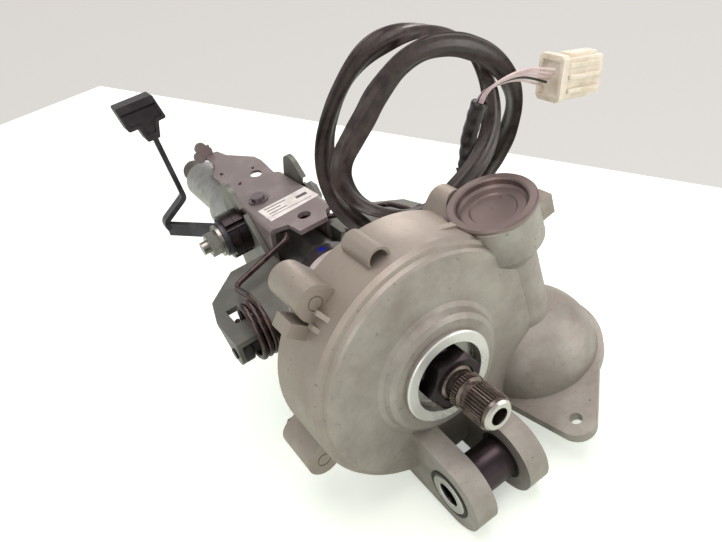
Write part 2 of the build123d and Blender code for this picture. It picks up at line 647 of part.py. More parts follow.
def upper_shaft():
    """Upper shaft with the stop tongue at one end and the wheel serration at the other."""
    seat = SHAFT_END_R + 0.4 - RUN_GAP
    shaft = turned((0, 80.4), (12.47, 80.4), (12.47, 96), (UPPER_SHAFT_R, 98),
                   (UPPER_SHAFT_R, NECK_END_Y - 12), (seat, NECK_END_Y - 10), (seat, NECK_END_Y + 2),
                   (SHAFT_END_R - 0.6, NECK_END_Y + 4), (SHAFT_END_R - 0.6, SHAFT_END_Y - 0.8),
                   (SHAFT_END_R - 1.4, SHAFT_END_Y), (0, SHAFT_END_Y))
    shaft += splined(SHAFT_END_R, SHAFT_END_R - 0.7, 36, NECK_END_Y + 8, SHAFT_END_Y - 2)
    tongue = slab_y(Rectangle(22, STOP_TONGUE), 68, 80.4)
    shaft += tongue
    shaft -= column_rod(SHAFT_BORE_R, SHAFT_END_Y - 22, SHAFT_END_Y + 1)
    return shaft - column_rod(TORSION_BAR_R, 60, 96)


def torsion_bar():
    """Torsion bar that ties the upper shaft to the output shaft."""
    return column_rod(TORSION_BAR_R, 14, 96)


def distance_bracket():
    """Channel welded on the jacket that the tilt bolt clamps."""
    half = DISTANCE_HALF_WIDTH
    front = DISTANCE_FRONT_Y
    top_outline = outline((-half, front + 15), (-9.5, front + 12), (-8, front), (10, front),
                          (13, front + 7), (half, front + 10), (half, DISTANCE_REAR_Y - 6),
                          (half - 6, DISTANCE_REAR_Y), (-half + 6, DISTANCE_REAR_Y),
                          (-half, DISTANCE_REAR_Y - 6))
    top = slab_z(top_outline, DISTANCE_TOP_Z - BRACKET_PLATE, DISTANCE_TOP_Z)
    top -= slab_z(Pos(2, 140) * Circle(DISTANCE_HOLE_R), 0, DISTANCE_TOP_Z + 1)
    body = Part() + top
    side = outline((front + 15, DISTANCE_TOP_Z - BRACKET_PLATE), (front + 22, 70), (front + 24, AXIS_Z),
                   (DISTANCE_REAR_Y - 10, AXIS_Z), (DISTANCE_REAR_Y - 6, 70),
                   (DISTANCE_REAR_Y - 6, DISTANCE_TOP_Z - BRACKET_PLATE))
    for sign in (-1, 1):
        x0 = sign * half
        x1 = sign * (half - BRACKET_PLATE)
        body += slab_x(side, min(x0, x1), max(x0, x1))
    for sign in (-1, 1):
        bend = [edge for edge in body.edges().filter_by(Axis.Y)
                if abs(edge.center().X - sign * half) < 0.1
                and abs(edge.center().Z - DISTANCE_TOP_Z) < 0.1]
        body = fillet(bend, BRACKET_PLATE - 0.2)
    body -= column_rod(UPPER_JACKET_R, front, DISTANCE_REAR_Y + 1)
    return body - rod_x(TILT_BOLT_R, -half - 1, half + 1, BOLT_Y, BOLT_Z)


def bracket_rivet():
    """Screw head on the top plate."""
    head = slab_z(Pos(-8, 180) * Circle(RIVET_R), DISTANCE_TOP_Z, DISTANCE_TOP_Z + 3)
    return head + slab_z(Pos(-8, 180) * Circle(RIVET_R + 2), DISTANCE_TOP_Z, DISTANCE_TOP_Z + 0.8)


def tilt_slot():
    """Arc slot about the pivot bolt, in (y, z)."""
    radius = (BOLT_Y ** 2 + BOLT_Z ** 2) ** 0.5
    middle = degrees(atan2(BOLT_Z, BOLT_Y))
    width = TILT_BOLT_R + ASSEMBLY_GAP
    low = middle - TILT_UP - 0.2
    high = middle + TILT_DOWN + 0.2

    def on_arc(r, angle):
        return (r * cos(radians(angle)), r * sin(radians(angle)))

    face = make_face(Curve() + [
        ThreePointArc(on_arc(radius - width, low), on_arc(radius - width, middle),
                      on_arc(radius - width, high)),
        Line(on_arc(radius - width, high), on_arc(radius + width, high)),
        ThreePointArc(on_arc(radius + width, high), on_arc(radius + width, middle),
                      on_arc(radius + width, low)),
        Line(on_arc(radius + width, low), on_arc(radius - width, low))])
    ends = [Pos(*on_arc(radius, angle)) * Circle(width) for angle in (low, high)]
    return Sketch() + face + ends[0] + ends[1]


def breakaway_bracket():
    """Pressed bracket: side plates with the tilt slots, bridge and the two wings."""
    low = BRIDGE_Z - SIDE_PLATE
    side = Sketch() + make_hull(
        (Pos(HORN_Y, HORN_Z) * Circle(HORN_R)).edges()
        + (Pos(HORN_Y + 6, HORN_Z - 12) * Circle(HORN_R)).edges()
        + Polyline((WING_REAR_Y - 4, WING_Z), (WING_REAR_Y + 6, low), (HORN_Y + 16, low),
                   (HORN_Y + 18, WING_Z)).edges())
    side -= tilt_slot()
    body = Part()
    for sign in (-1, 1):
        x0 = sign * SIDE_INNER_X
        x1 = sign * SIDE_OUTER_X
        body += slab_x(side, min(x0, x1), max(x0, x1))
        body += wing(sign)
    bridge = outline((-SIDE_OUTER_X, WING_REAR_Y + 6), (SIDE_OUTER_X, WING_REAR_Y + 6),
                     (SIDE_OUTER_X, HORN_Y + 16), (-SIDE_OUTER_X, HORN_Y + 16))
    return body + slab_z(bridge, low, BRIDGE_Z)


def wing(sign):
    """One wing with its spring window, resin pin hole and the two ears for the spring pin."""
    edge = SPOOL_OUTER_X + EAR_PLATE
    points = [(SIDE_INNER_X, WING_REAR_Y), (46, WING_REAR_Y), (66.5, 136), (edge, 118), (edge, WING_FRONT_Y),
              (51, WING_FRONT_Y), (38.6, WING_FRONT_Y - 3), (37.8, 98), (SIDE_INNER_X, 149)]
    plate = outline(*[(sign * x, y) for x, y in points])
    window = outline(*[(sign * x, y) for x, y in [
        (COIL_INNER_X - WIRE_R - 0.8, WINDOW_FRONT_Y), (COIL_INNER_X - WIRE_R - 0.8, WINDOW_REAR_Y),
        (COIL_OUTER_X + WIRE_R + 0.8, WINDOW_REAR_Y), (COIL_OUTER_X + WIRE_R + 0.8, WINDOW_FRONT_Y)]])
    hole = Pos(sign * RESIN_PIN_X, RESIN_PIN_Y) * Circle(RESIN_PIN_R)
    body = slab_z(Sketch() + plate - window - hole, WING_Z - SIDE_PLATE, WING_Z)
    flange = outline((136, WING_Z), (WING_REAR_Y + 12, WING_Z), (WING_REAR_Y + 12, WING_Z - 20),
                     (148, WING_Z - 20))
    body += slab_x(flange, *sorted((sign * SIDE_INNER_X, sign * SIDE_OUTER_X)))
    boss = (Pos(SPOOL_Y, SPOOL_Z) * Circle(SPOOL_COLLAR_R)).edges()
    inner = make_hull(boss + Polyline((SPOOL_Y - 7, WING_Z - 1), (SPOOL_Y + 12, WING_Z - 1)).edges())
    outer = make_hull(boss + Polyline((WING_FRONT_Y, WING_Z - 1), (118, WING_Z - 1)).edges())
    for x0, ear in ((SPOOL_INNER_X - EAR_PLATE, inner), (SPOOL_OUTER_X, outer)):
        body += slab_x(ear, *sorted((sign * x0, sign * (x0 + EAR_PLATE))))
    return body - rod_x(SPRING_PIN_R, *sorted((sign * 40, sign * 75)), SPOOL_Y, SPOOL_Z)


def spring_pins():
    """Headed pins that carry the spring spools between the ears."""
    pins = []
    for sign in (-1, 1):
        start = SPOOL_INNER_X - EAR_PLATE
        end = SPOOL_OUTER_X + EAR_PLATE + 1
        pin = rod_x(SPRING_PIN_R, *sorted((sign * (start - 1.5), sign * end)), SPOOL_Y, SPOOL_Z)
        pin += rod_x(SPRING_PIN_R + 2, *sorted((sign * (start - 1.5), sign * start)), SPOOL_Y, SPOOL_Z)
        pins.append(pin)
    return Compound(children=pins)


def spring_sleeves():
    """Black moulded spools that the spring coils hang on, with a broad collar at each end."""
    spools = []
    inner_face = COIL_INNER_X - WIRE_R - 0.5
    outer_face = COIL_OUTER_X + WIRE_R + 0.5
    for sign in (-1, 1):
        ends = sorted((sign * SPOOL_INNER_X, sign * SPOOL_OUTER_X))
        spool = rod_x(SPOOL_CORE_R, *ends, SPOOL_Y, SPOOL_Z)
        for a, b in ((SPOOL_INNER_X, inner_face), (outer_face, SPOOL_OUTER_X)):
            collar = rod_x(SPOOL_COLLAR_R, *sorted((sign * a, sign * b)), SPOOL_Y, SPOOL_Z)
            spool += chamfer(collar.edges().filter_by(GeomType.CIRCLE), 0.6)
        spools.append(spool - rod_x(SPRING_PIN_R, *sorted((sign * 40, sign * 75)), SPOOL_Y, SPOOL_Z))
    return Compound(children=spools)


def capsules():
    """Moulded resin pins in the wings, each with a ring on top."""
    parts = []
    for sign in (-1, 1):
        place = Pos(sign * RESIN_PIN_X, RESIN_PIN_Y)
        ring = slab_z(place * (Circle(RESIN_PIN_R + 1) - Circle(RESIN_PIN_R - 1)), WING_Z, WING_Z + 1.2)
        neck = slab_z(place * (Circle(RESIN_PIN_R) - Circle(RESIN_PIN_R - 1)), WING_Z - SIDE_PLATE - 0.8,
                      WING_Z)
        parts.append(ring + neck)
    return Compound(children=parts)


def tilt_springs():
    """Torsion springs whose long arms hook under the distance bracket, each bent from one wire."""
    springs = []
    for sign in (-1, 1):
        start = Plane(origin=(sign * COIL_INNER_X, SPOOL_Y, SPOOL_Z + COIL_HANG), x_dir=(0, 0, 1),
                      z_dir=(sign, 0, 0))
        coil = start.location * Helix(COIL_PITCH, COIL_PITCH * COIL_TURNS, COIL_R, lefthand=sign < 0)
        top = coil @ 0
        arm = FilletPolyline(top, top - (coil % 0) * 9, (sign * 52.7, 131.5, 76),
                             (sign * 12.5, 135, 85.9), (sign * 12, 150, 86.1), radius=5)
        section = Plane(origin=top, z_dir=coil % 0) * Circle(WIRE_R)
        springs.append(sweep(section, path=coil, is_frenet=True) + sweep(section, path=arm))
    return Compound(children=springs)


def tilt_bolt():
    """Tilt bolt with its hexagon head against the right side plate."""
    head = SIDE_OUTER_X
    end = -(SIDE_OUTER_X + 3 * SLIDE_GAP + FIXED_CAM + MOVING_CAM + ARM_THICKNESS + THRUST_WASHER
            + TILT_NUT + 4)
    bolt = rod_x(TILT_BOLT_R, end, head + 1, BOLT_Y, BOLT_Z)
    bolt += slab_x(Pos(BOLT_Y, BOLT_Z) * Circle(9), head + SLIDE_GAP, head + 1.8)
    bolt += slab_x(Pos(BOLT_Y, BOLT_Z) * RegularPolygon(6.5, 6, major_radius=False), head + 1, head + 7)
    return bolt


def stack_x(*thicknesses):
    """x of a face on the lever stack, outwards from the left side plate."""
    return -(SIDE_OUTER_X + sum(thicknesses))


FIXED_START = (SLIDE_GAP,)
MOVING_START = FIXED_START + (FIXED_CAM, SLIDE_GAP)
ARM_START = MOVING_START + (MOVING_CAM,)
WASHER_START = ARM_START + (ARM_THICKNESS, SLIDE_GAP)
NUT_START = WASHER_START + (THRUST_WASHER,)


def cam(start, thickness, bore):
    """Face cam with four notches in its rim."""
    x1 = stack_x(*start)
    x0 = stack_x(*start, thickness)
    disc = Pos(BOLT_Y, BOLT_Z) * (Circle(CAM_R) - Circle(bore))
    body = slab_x(disc, x0, x1)
    for i in range(4):
        notch = Pos(BOLT_Y, BOLT_Z) * Rot(0, 0, 45 + 90 * i) * Pos(CAM_R, 0) * Circle(2.2)
        body -= slab_x(notch, x0 - 1, x1 + 1)
    return body


def lever_arm():
    """Bent flat arm from the bolt to the knob."""
    x1 = stack_x(*ARM_START)
    x0 = x1 - ARM_THICKNESS
    eye = slab_x(Pos(BOLT_Y, BOLT_Z) * (Circle(11) - Circle(TILT_BOLT_R + 0.05)), x0, x1)
    t = ARM_THICKNESS
    middle = (x0 + x1) / 2
    knee = (-57.5, 221, 79)
    path = FilletPolyline((middle, BOLT_Y + 8, BOLT_Z), (middle, BOLT_Y + 14, BOLT_Z), knee,
                          radius=5)
    strip = Plane(origin=path @ 0, x_dir=(0, 0, 1), z_dir=path % 0) * Rectangle(ARM_WIDTH, t)
    body = eye + sweep(strip, path=path)
    rise = FilletPolyline((-57.5, 221, 79), (-58.2, 222, 84), (-41, 221, 95), (-43.5, 221, 141), radius=4)
    bar = Plane(origin=rise @ 0, x_dir=(0, 1, 0), z_dir=rise % 0) * Rectangle(ARM_WIDTH - 1, t)
    return body + sweep(bar, path=rise, transition=Transition.ROUND)


def lever_knob():
    """Moulded T-shaped knob with a ridge along its top and a sunken lower face."""
    plane = Plane(origin=(0, 226, 0), x_dir=(1, 0, 0), z_dir=(0, -1, 0))
    head = outline((-59, 162.4), (-36.3, 162.4), (-33.2, 147.1), (-38.2, 147), (-41, 137.6), (-48.6, 137.6),
                   (-50.6, 147), (-56.6, 147))
    body = extrude(plane * fillet(head.vertices(), 1.2), 10)
    face = outline((-56.4, 156.8), (-36.6, 156.8), (-35.3, 149.2), (-40, 149), (-42, 141.5), (-47.6, 141.5),
                   (-48.9, 149), (-55, 149))
    body -= Pos(0, -9, 0) * extrude(plane * fillet(face.vertices(), 0.8), 2)
    groove = plane * Pos(-46.8, 157.4) * Rectangle(21, 1.1)
    body -= Pos(0, -8.4, 0) * extrude(groove, 2)
    return body - lever_arm()


def switch_bracket():
    """Flat bracket for the column switches, on a saddle at the upper end of the jacket."""
    z = SWITCH_PLATE_Z
    plate = outline((-6, 236), (1, 229), (8, 219), (17, 219), (25, 227), (28.5, 258), (27.6, 268),
                    (15, 291), (12.6, 305), (2.5, 306), (2, 283), (-6, 268))
    body = slab_z(fillet(plate.vertices(), 1.8), z - SWITCH_PLATE, z)
    for x, y, length, width, turn in ((-1.6, 262, 9, 2.2, 80), (2.6, 240, 8, 2.2, 60),
                                      (14.3, 222.5, 6, 2, 0), (18.4, 251.5, 4.5, 1.8, 70)):
        body -= slab_z(Pos(x, y) * Rot(0, 0, turn) * Rectangle(length, width), z - 5, z + 5)
    body -= slab_z(Pos(16, 242) * Ellipse(4.2, 5.6), z - 5, z + 5)
    saddle = slab_z(outline((-6, 240), (10, 240), (10, 258), (-6, 258)), AXIS_Z + 10, z)
    body += saddle - column_rod(UPPER_JACKET_R, 230, 270)
    lobes = (Pos(1.2, 84.6 - AXIS_Z) * Circle(4.6) + Pos(-1.2, 78.8 - AXIS_Z) * Circle(5)
             + Pos(5, 79.5 - AXIS_Z) * Rectangle(6, 11) + Pos(7.4, 74 - AXIS_Z) * Rectangle(3.4, 16))
    notch = Pos(-5.6, 82.4 - AXIS_Z) * Rot(0, 0, 20) * Rectangle(7, 1)
    return body + slab_y(lobes - notch, 303, 305)


def thrust_washer():
    """Washer between the lever arm and the nut."""
    x1 = stack_x(*WASHER_START)
    return slab_x(Pos(BOLT_Y, BOLT_Z) * (Circle(10) - Circle(TILT_BOLT_R)), x1 - THRUST_WASHER, x1)


def tilt_nut():
    """Locknut on the tilt bolt."""
    x1 = stack_x(*NUT_START)
    nut = Pos(BOLT_Y, BOLT_Z) * RegularPolygon(TILT_NUT_FLATS / 2, 6, major_radius=False)
    return slab_x(nut - Pos(BOLT_Y, BOLT_Z) * Circle(TILT_BOLT_R), x1 - TILT_NUT, x1)


def cord_path(points):
    """Straight runs joined by arcs as large as the runs allow."""
    knots = [Vector(*point) for point in points]
    runs = [b - a for a, b in zip(knots, knots[1:])]
    radii = []
    for first, second in zip(runs, runs[1:]):
        half_turn = radians(first.get_angle(second)) / 2
        radii.append(0.45 * min(first.length, second.length) / tan(half_turn))
    print("cord radii", [round(radius, 1) for radius in radii])
    return FilletPolyline(*knots, radius=radii)


def cord_tube(points, radius):
    """Plain round tube along a cord's route."""
    path = cord_path(points)
    tube = sweep(Plane(origin=path @ 0, z_dir=path % 0) * Circle(radius), path=path)
    print("cord length", round(path.length, 1), "volume ratio",
          round(tube.volume / (pi * radius ** 2 * path.length), 4))
    return tube


def harness_grommet():
    """Rubber grommet where the harness leaves the rear casting."""
    place = Pos(GROMMET_X, GROMMET_Z - AXIS_Z)
    plug = slab_y(place * Circle(GROMMET_R), SEAM_Y, REAR_COVER_Y)
    flange = slab_y(place * Circle(GROMMET_R + 2), REAR_COVER_Y, REAR_COVER_Y + 1.6)
    return plug + flange + slab_y(place * Circle(GROMMET_R - 0.8), REAR_COVER_Y, GROMMET_END_Y)


def harness_leads():
    """Five thin wires from the sleeve to the connector."""
    leads = []
    for i in range(5):
        spread = i - 2
        points = [(x, y + 0.9 * spread * (1 + 0.35 * step), z - 0.55 * spread * step)
                  for step, (x, y, z) in enumerate(LEAD_ROUTE)]
        leads.append(cord_tube(points, WIRE_LEAD_R))
    return Compound(children=leads)


def harness_connector():
    """Nylon connector housing with its flared wire end, guide ribs and latch."""
    length, width, height = CONNECTOR_SIZE
    end = length / 2
    body = Pos(1.5, 0, 0) * Box(length - 3, width, height - 4)
    hood = Pos(-end + 2.5, 0, 0) * Box(5, width + 2.4, height)
    body += chamfer(hood.edges().filter_by(Axis.X), 2)
    body -= Pos(-end, 0, 0) * Box(4, width - 2, height - 6)
    for z, reach in ((height / 2 - 5.4, 1.2), (1.2, 2.2), (-height / 4, 2.2)):
        rib = Pos(1.5, -width / 2 - reach / 2 + 0.5, z) * Box(length - 8, reach + 1, 2.2)
        body += rib
    body += Pos(3, -1, height / 2 - 1.4) * Box(length - 12, 7, 3.2)
    body += Pos(-2, 0, -height / 2 + 1.4) * Box(length - 10, width - 3, 1.6)
    body -= Pos(end - 6, 0, 0) * Box(12.2, width - 3, height - 7)
    return Pos(*CONNECTOR_CENTRE) * Rot(0, CONNECTOR_TURN, 0) * body


PIECES = {
    "harness_grommet": harness_grommet,
    "harness_tube": lambda: cord_tube(HARNESS_ROUTE, HARNESS_R),
    "harness_sleeve": lambda: cord_tube(SLEEVE_ROUTE, HARNESS_SLEEVE_R),
    "harness_leads": harness_leads,
    "harness_connector": harness_connector,
    "gear_housing": gear_housing,
    "housing_rear_cover": rear_cover,
    "housing_bolts": housing_bolts,
    "output_bearings": output_bearings,
    "worm_bearings": worm_bearings,
    "worm_plug": worm_plug,
    "output_shaft": output_shaft,
    "output_nut": output_nut,
    "wheel_hub": wheel_hub,
    "wheel_rim": wheel_rim,
    "worm_shaft": worm_shaft,
    "worm_coupling": worm_coupling,
    "pivot_bushes": pivot_bushes,
    "pivot_sleeve": pivot_sleeve,
    "lower_jacket": lower_jacket,
    "sensor_coil": sensor_coil,
    "sensor_sleeve": sensor_sleeve,
    "upper_jacket": upper_jacket,
    "upper_bearing": upper_bearing,
    "upper_shaft": upper_shaft,
    "torsion_bar": torsion_bar,
    "distance_bracket": distance_bracket,
    "bracket_rivet": bracket_rivet,
    "breakaway_bracket": breakaway_bracket,
    "capsules": capsules,
    "spring_pins": spring_pins,
    "spring_sleeves": spring_sleeves,
    "tilt_springs": tilt_springs,
    "tilt_bolt": tilt_bolt,
    "fixed_cam": lambda: cam(FIXED_START, FIXED_CAM, TILT_BOLT_R),
    "moving_cam": lambda: cam(MOVING_START, MOVING_CAM, TILT_BOLT_R + 0.05),
    "lever_arm": lever_arm,
    "lever_knob": lever_knob,
    "thrust_washer": thrust_washer,
    "tilt_nut": tilt_nut,
    "switch_bracket": switch_bracket,
}

os.makedirs("parts", exist_ok=True)
for name, make in PIECES.items():
    export_step(make(), f"parts/{name}.step")
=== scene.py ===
"""Steering column with electric assist gear: finishes, harness, label, studio and camera.

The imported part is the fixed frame. Everything here is in metres in that frame: X along the pivot
bolt, Y along the column from the joint spline to the wheel end, Z up towards the worm plug.
"""

import logging
import math
from dataclasses import dataclass, field
from enum import Enum
from typing import Callable, NamedTuple, Sequence

import bpy
from mathutils import Matrix, Vector, noise


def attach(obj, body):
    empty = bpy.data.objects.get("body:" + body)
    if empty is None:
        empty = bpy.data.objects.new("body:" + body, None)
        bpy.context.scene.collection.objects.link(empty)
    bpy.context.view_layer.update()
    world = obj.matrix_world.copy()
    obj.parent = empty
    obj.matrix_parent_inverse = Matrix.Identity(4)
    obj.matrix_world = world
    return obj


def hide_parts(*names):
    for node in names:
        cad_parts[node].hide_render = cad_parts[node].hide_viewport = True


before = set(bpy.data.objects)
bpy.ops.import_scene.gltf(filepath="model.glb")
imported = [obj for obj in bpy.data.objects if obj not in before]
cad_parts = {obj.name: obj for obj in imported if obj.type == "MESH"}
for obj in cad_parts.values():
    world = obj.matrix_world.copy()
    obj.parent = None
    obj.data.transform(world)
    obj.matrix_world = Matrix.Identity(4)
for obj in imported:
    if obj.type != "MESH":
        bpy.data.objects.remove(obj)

LOG = logging.getLogger("steering_column")
AXIS_Z = 0.052

Point = tuple[float, float, float]
Socket = bpy.types.NodeSocket


def linear(code: str) -> tuple[float, float, float, float]:
    """Turn an sRGB hex colour into the linear colour that the shaders use.

    Args:
        code: Six hex digits, with or without the leading sign.

    Returns:
        Linear red, green, blue and an alpha of one.
    """
    digits = code.lstrip("#")
    values = [int(digits[i:i + 2], 16) / 255 for i in (0, 2, 4)]
    r, g, b = [v / 12.92 if v <= 0.04045 else ((v + 0.055) / 1.055) ** 2.4 for v in values]
    return (r, g, b, 1.0)


def per_metre(size_mm: float) -> float:
    """Pattern scale that makes one repeat as long as a real size in millimetres."""
    return 1000.0 / size_mm


def add_node(tree: bpy.types.NodeTree, kind: str, inputs: dict | None = None,
             **settings) -> bpy.types.Node:
    """Add one shader node with its settings and its inputs, by value or by link.

    Args:
        tree: Node tree that takes the node.
        kind: Blender's name of the node type.
        inputs: Socket name or number to a value, or to the socket that feeds it.
        **settings: Properties of the node itself.

    Returns:
        The new node.
    """
    node = tree.nodes.new(kind)
    for name, value in settings.items():
        setattr(node, name, value)
    for key, value in (inputs or {}).items():
        if isinstance(value, bpy.types.NodeSocket):
            tree.links.new(value, node.inputs[key])
        else:
            node.inputs[key].default_value = value
    return node


def ramp(tree: bpy.types.NodeTree, factor: Socket, low: float, high: float) -> Socket:
    """Stretch the part of a pattern between two values to the whole range from 0 to 1."""
    return add_node(tree, "ShaderNodeMapRange", {
        "Value": factor, "From Min": low, "From Max": high}).outputs["Result"]


def sum_of(tree: bpy.types.NodeTree, operation: str, first: Socket | float,
           second: Socket | float = 0.0, third: Socket | float = 0.0) -> Socket:
    """Work out one value from up to three, each a number or a socket.

    Args:
        tree: Node tree of the material.
        operation: Blender's name of the arithmetic.
        first: First value.
        second: Second value.
        third: Third value, for the operations that take three.

    Returns:
        The result's socket.
    """
    inputs = {0: first, 1: second, 2: third}
    return add_node(tree, "ShaderNodeMath", inputs, operation=operation).outputs[0]


def blend_colours(tree: bpy.types.NodeTree, factor: Socket, first: Socket | str,
                  second: Socket | str) -> Socket:
    """Mix two colours by a pattern.

    Args:
        tree: Node tree of the material.
        factor: Pattern from 0, the first colour, to 1, the second.
        first: Hex colour or colour socket.
        second: Hex colour or colour socket.

    Returns:
        The mixed colour's socket.
    """
    pair = [linear(c) if isinstance(c, str) else c for c in (first, second)]
    node = add_node(tree, "ShaderNodeMix", {0: factor, 6: pair[0], 7: pair[1]}, data_type="RGBA")
    return node.outputs[2]


def blend_values(tree: bpy.types.NodeTree, factor: Socket, first: Socket | float,
                 second: Socket | float) -> Socket:
    """Mix two plain values by a pattern from 0 to 1."""
    return add_node(tree, "ShaderNodeMix", {0: factor, 2: first, 3: second}).outputs[0]


@dataclass(frozen=True)
class Patches:
    """Soft noise over a surface, and the part of its range that shows as patches.

    Attributes:
        size_mm: Rough size of a patch on the real surface.
        detail: Octaves of finer noise inside a patch.
        fineness: Weight of each finer octave against the one before it.
        low: Noise value where a patch starts.
        high: Noise value where it is full.
    """

    size_mm: float
    detail: float = 3.0
    fineness: float = 0.55
    low: float = 0.0
    high: float = 1.0


class Draft(NamedTuple):
    """A material in the making.

    Attributes:
        material: The material itself.
        tree: Its node tree.
        shader: Its surface shader.
        place: Position on the object, in metres.
    """

    material: bpy.types.Material
    tree: bpy.types.NodeTree
    shader: bpy.types.Node
    place: Socket

    def bare(self, patches: Patches, place: Socket | None = None) -> Socket:
        """Noise over its whole range, for relief, at the object's position or at another."""
        return add_node(self.tree, "ShaderNodeTexNoise", {
            "Vector": self.place if place is None else place, "Scale": per_metre(patches.size_mm),
            "Detail": patches.detail, "Roughness": patches.fineness}).outputs["Fac"]

    def cut(self, patches: Patches, place: Socket | None = None) -> Socket:
        """Noise that is 0 where a patch starts and 1 where it is full."""
        return ramp(self.tree, self.bare(patches, place), patches.low, patches.high)

    def stretched(self, **settings) -> Socket:
        """Position with another scale or turn, for streaks."""
        return add_node(self.tree, "ShaderNodeMapping", {0: self.place, **settings}).outputs[0]

    def axes(self) -> Sequence[Socket]:
        """The position's three coordinates."""
        return add_node(self.tree, "ShaderNodeSeparateXYZ", {0: self.place}).outputs

    def feed(self, name: str, value: Socket) -> None:
        """Link a value or a colour to one of the shader's inputs."""
        self.tree.links.new(value, self.shader.inputs[name])

    def dull(self, pattern: Socket, clean: float, added: float) -> None:
        """Raise the roughness from its clean value where a pattern shows."""
        self.feed("Roughness", add_node(self.tree, "ShaderNodeMapRange", {
            "Value": pattern, "To Min": clean, "To Max": clean + added}).outputs[0])

    def relief(self, height: Socket, depth_mm: float, strength: float) -> None:
        """Feed a height pattern to the shader as fine relief of a real depth."""
        self.feed("Normal", add_node(self.tree, "ShaderNodeBump", {
            "Height": height, "Strength": strength, "Distance": depth_mm / 1000}).outputs[0])

    def glow(self, weight: float, spread: Point, scale: float) -> None:
        """Let a share of the light spread under the surface, each colour by its own distance."""
        for name, value in (("Weight", weight), ("Radius", spread), ("Scale", scale)):
            self.shader.inputs[f"Subsurface {name}"].default_value = value


@dataclass(frozen=True)
class Finish:
    """Base of all finishes: a real material with a colour and the way it takes light.

    Attributes:
        name: Name of the material.
        colour: Body colour as sRGB hex.
        shade: Second colour of its natural unevenness, or of the dirt on it; on the vinyl sleeving
            partly a painted sheen.
        roughness: Surface roughness of the clean material.
        metallic: 1 for bare metal, 0 for paint and plastic.
        patches: Pattern of the second colour.
        dulling: Roughness added where that colour is full.
        grain: Pattern of the surface relief.
        relief_mm: Depth of that relief.
        relief_strength: How much of it shows.
    """

    name: str
    colour: str
    shade: str
    roughness: float
    metallic: float = 0.0
    patches: Patches = Patches(10)
    dulling: float = 0.0
    grain: Patches = Patches(1.0, 2)
    relief_mm: float = 0.05
    relief_strength: float = 0.3

    def start(self) -> Draft:
        """Make the material with a plain shader, to be worked on."""
        material = bpy.data.materials.new(self.name)
        material.use_nodes = True
        tree = material.node_tree
        tree.nodes.clear()
        shader = add_node(tree, "ShaderNodeBsdfPrincipled", {
            "Base Color": linear(self.colour), "Metallic": self.metallic, "Roughness": self.roughness})
        add_node(tree, "ShaderNodeOutputMaterial", {"Surface": shader.outputs[0]})
        return Draft(material, tree, shader, add_node(tree, "ShaderNodeTexCoord").outputs["Object"])

    def roughen(self, draft: Draft, height: Socket | None = None) -> None:
        """Give the draft its relief, of the grain unless another height is given."""
        height = draft.bare(self.grain) if height is None else height
        draft.relief(height, self.relief_mm, self.relief_strength)

    def weathered(self) -> Draft:
        """Make the material with its relief, and its second colour and dulling in patches."""
        draft = self.start()
        pattern = draft.cut(self.patches)
        draft.feed("Base Color", blend_colours(draft.tree, pattern, self.colour, self.shade))
        draft.dull(pattern, self.roughness, self.dulling)
        self.roughen(draft)
        return draft

    def build(self) -> bpy.types.Material:
        """Make the material."""
        return self.weathered().material


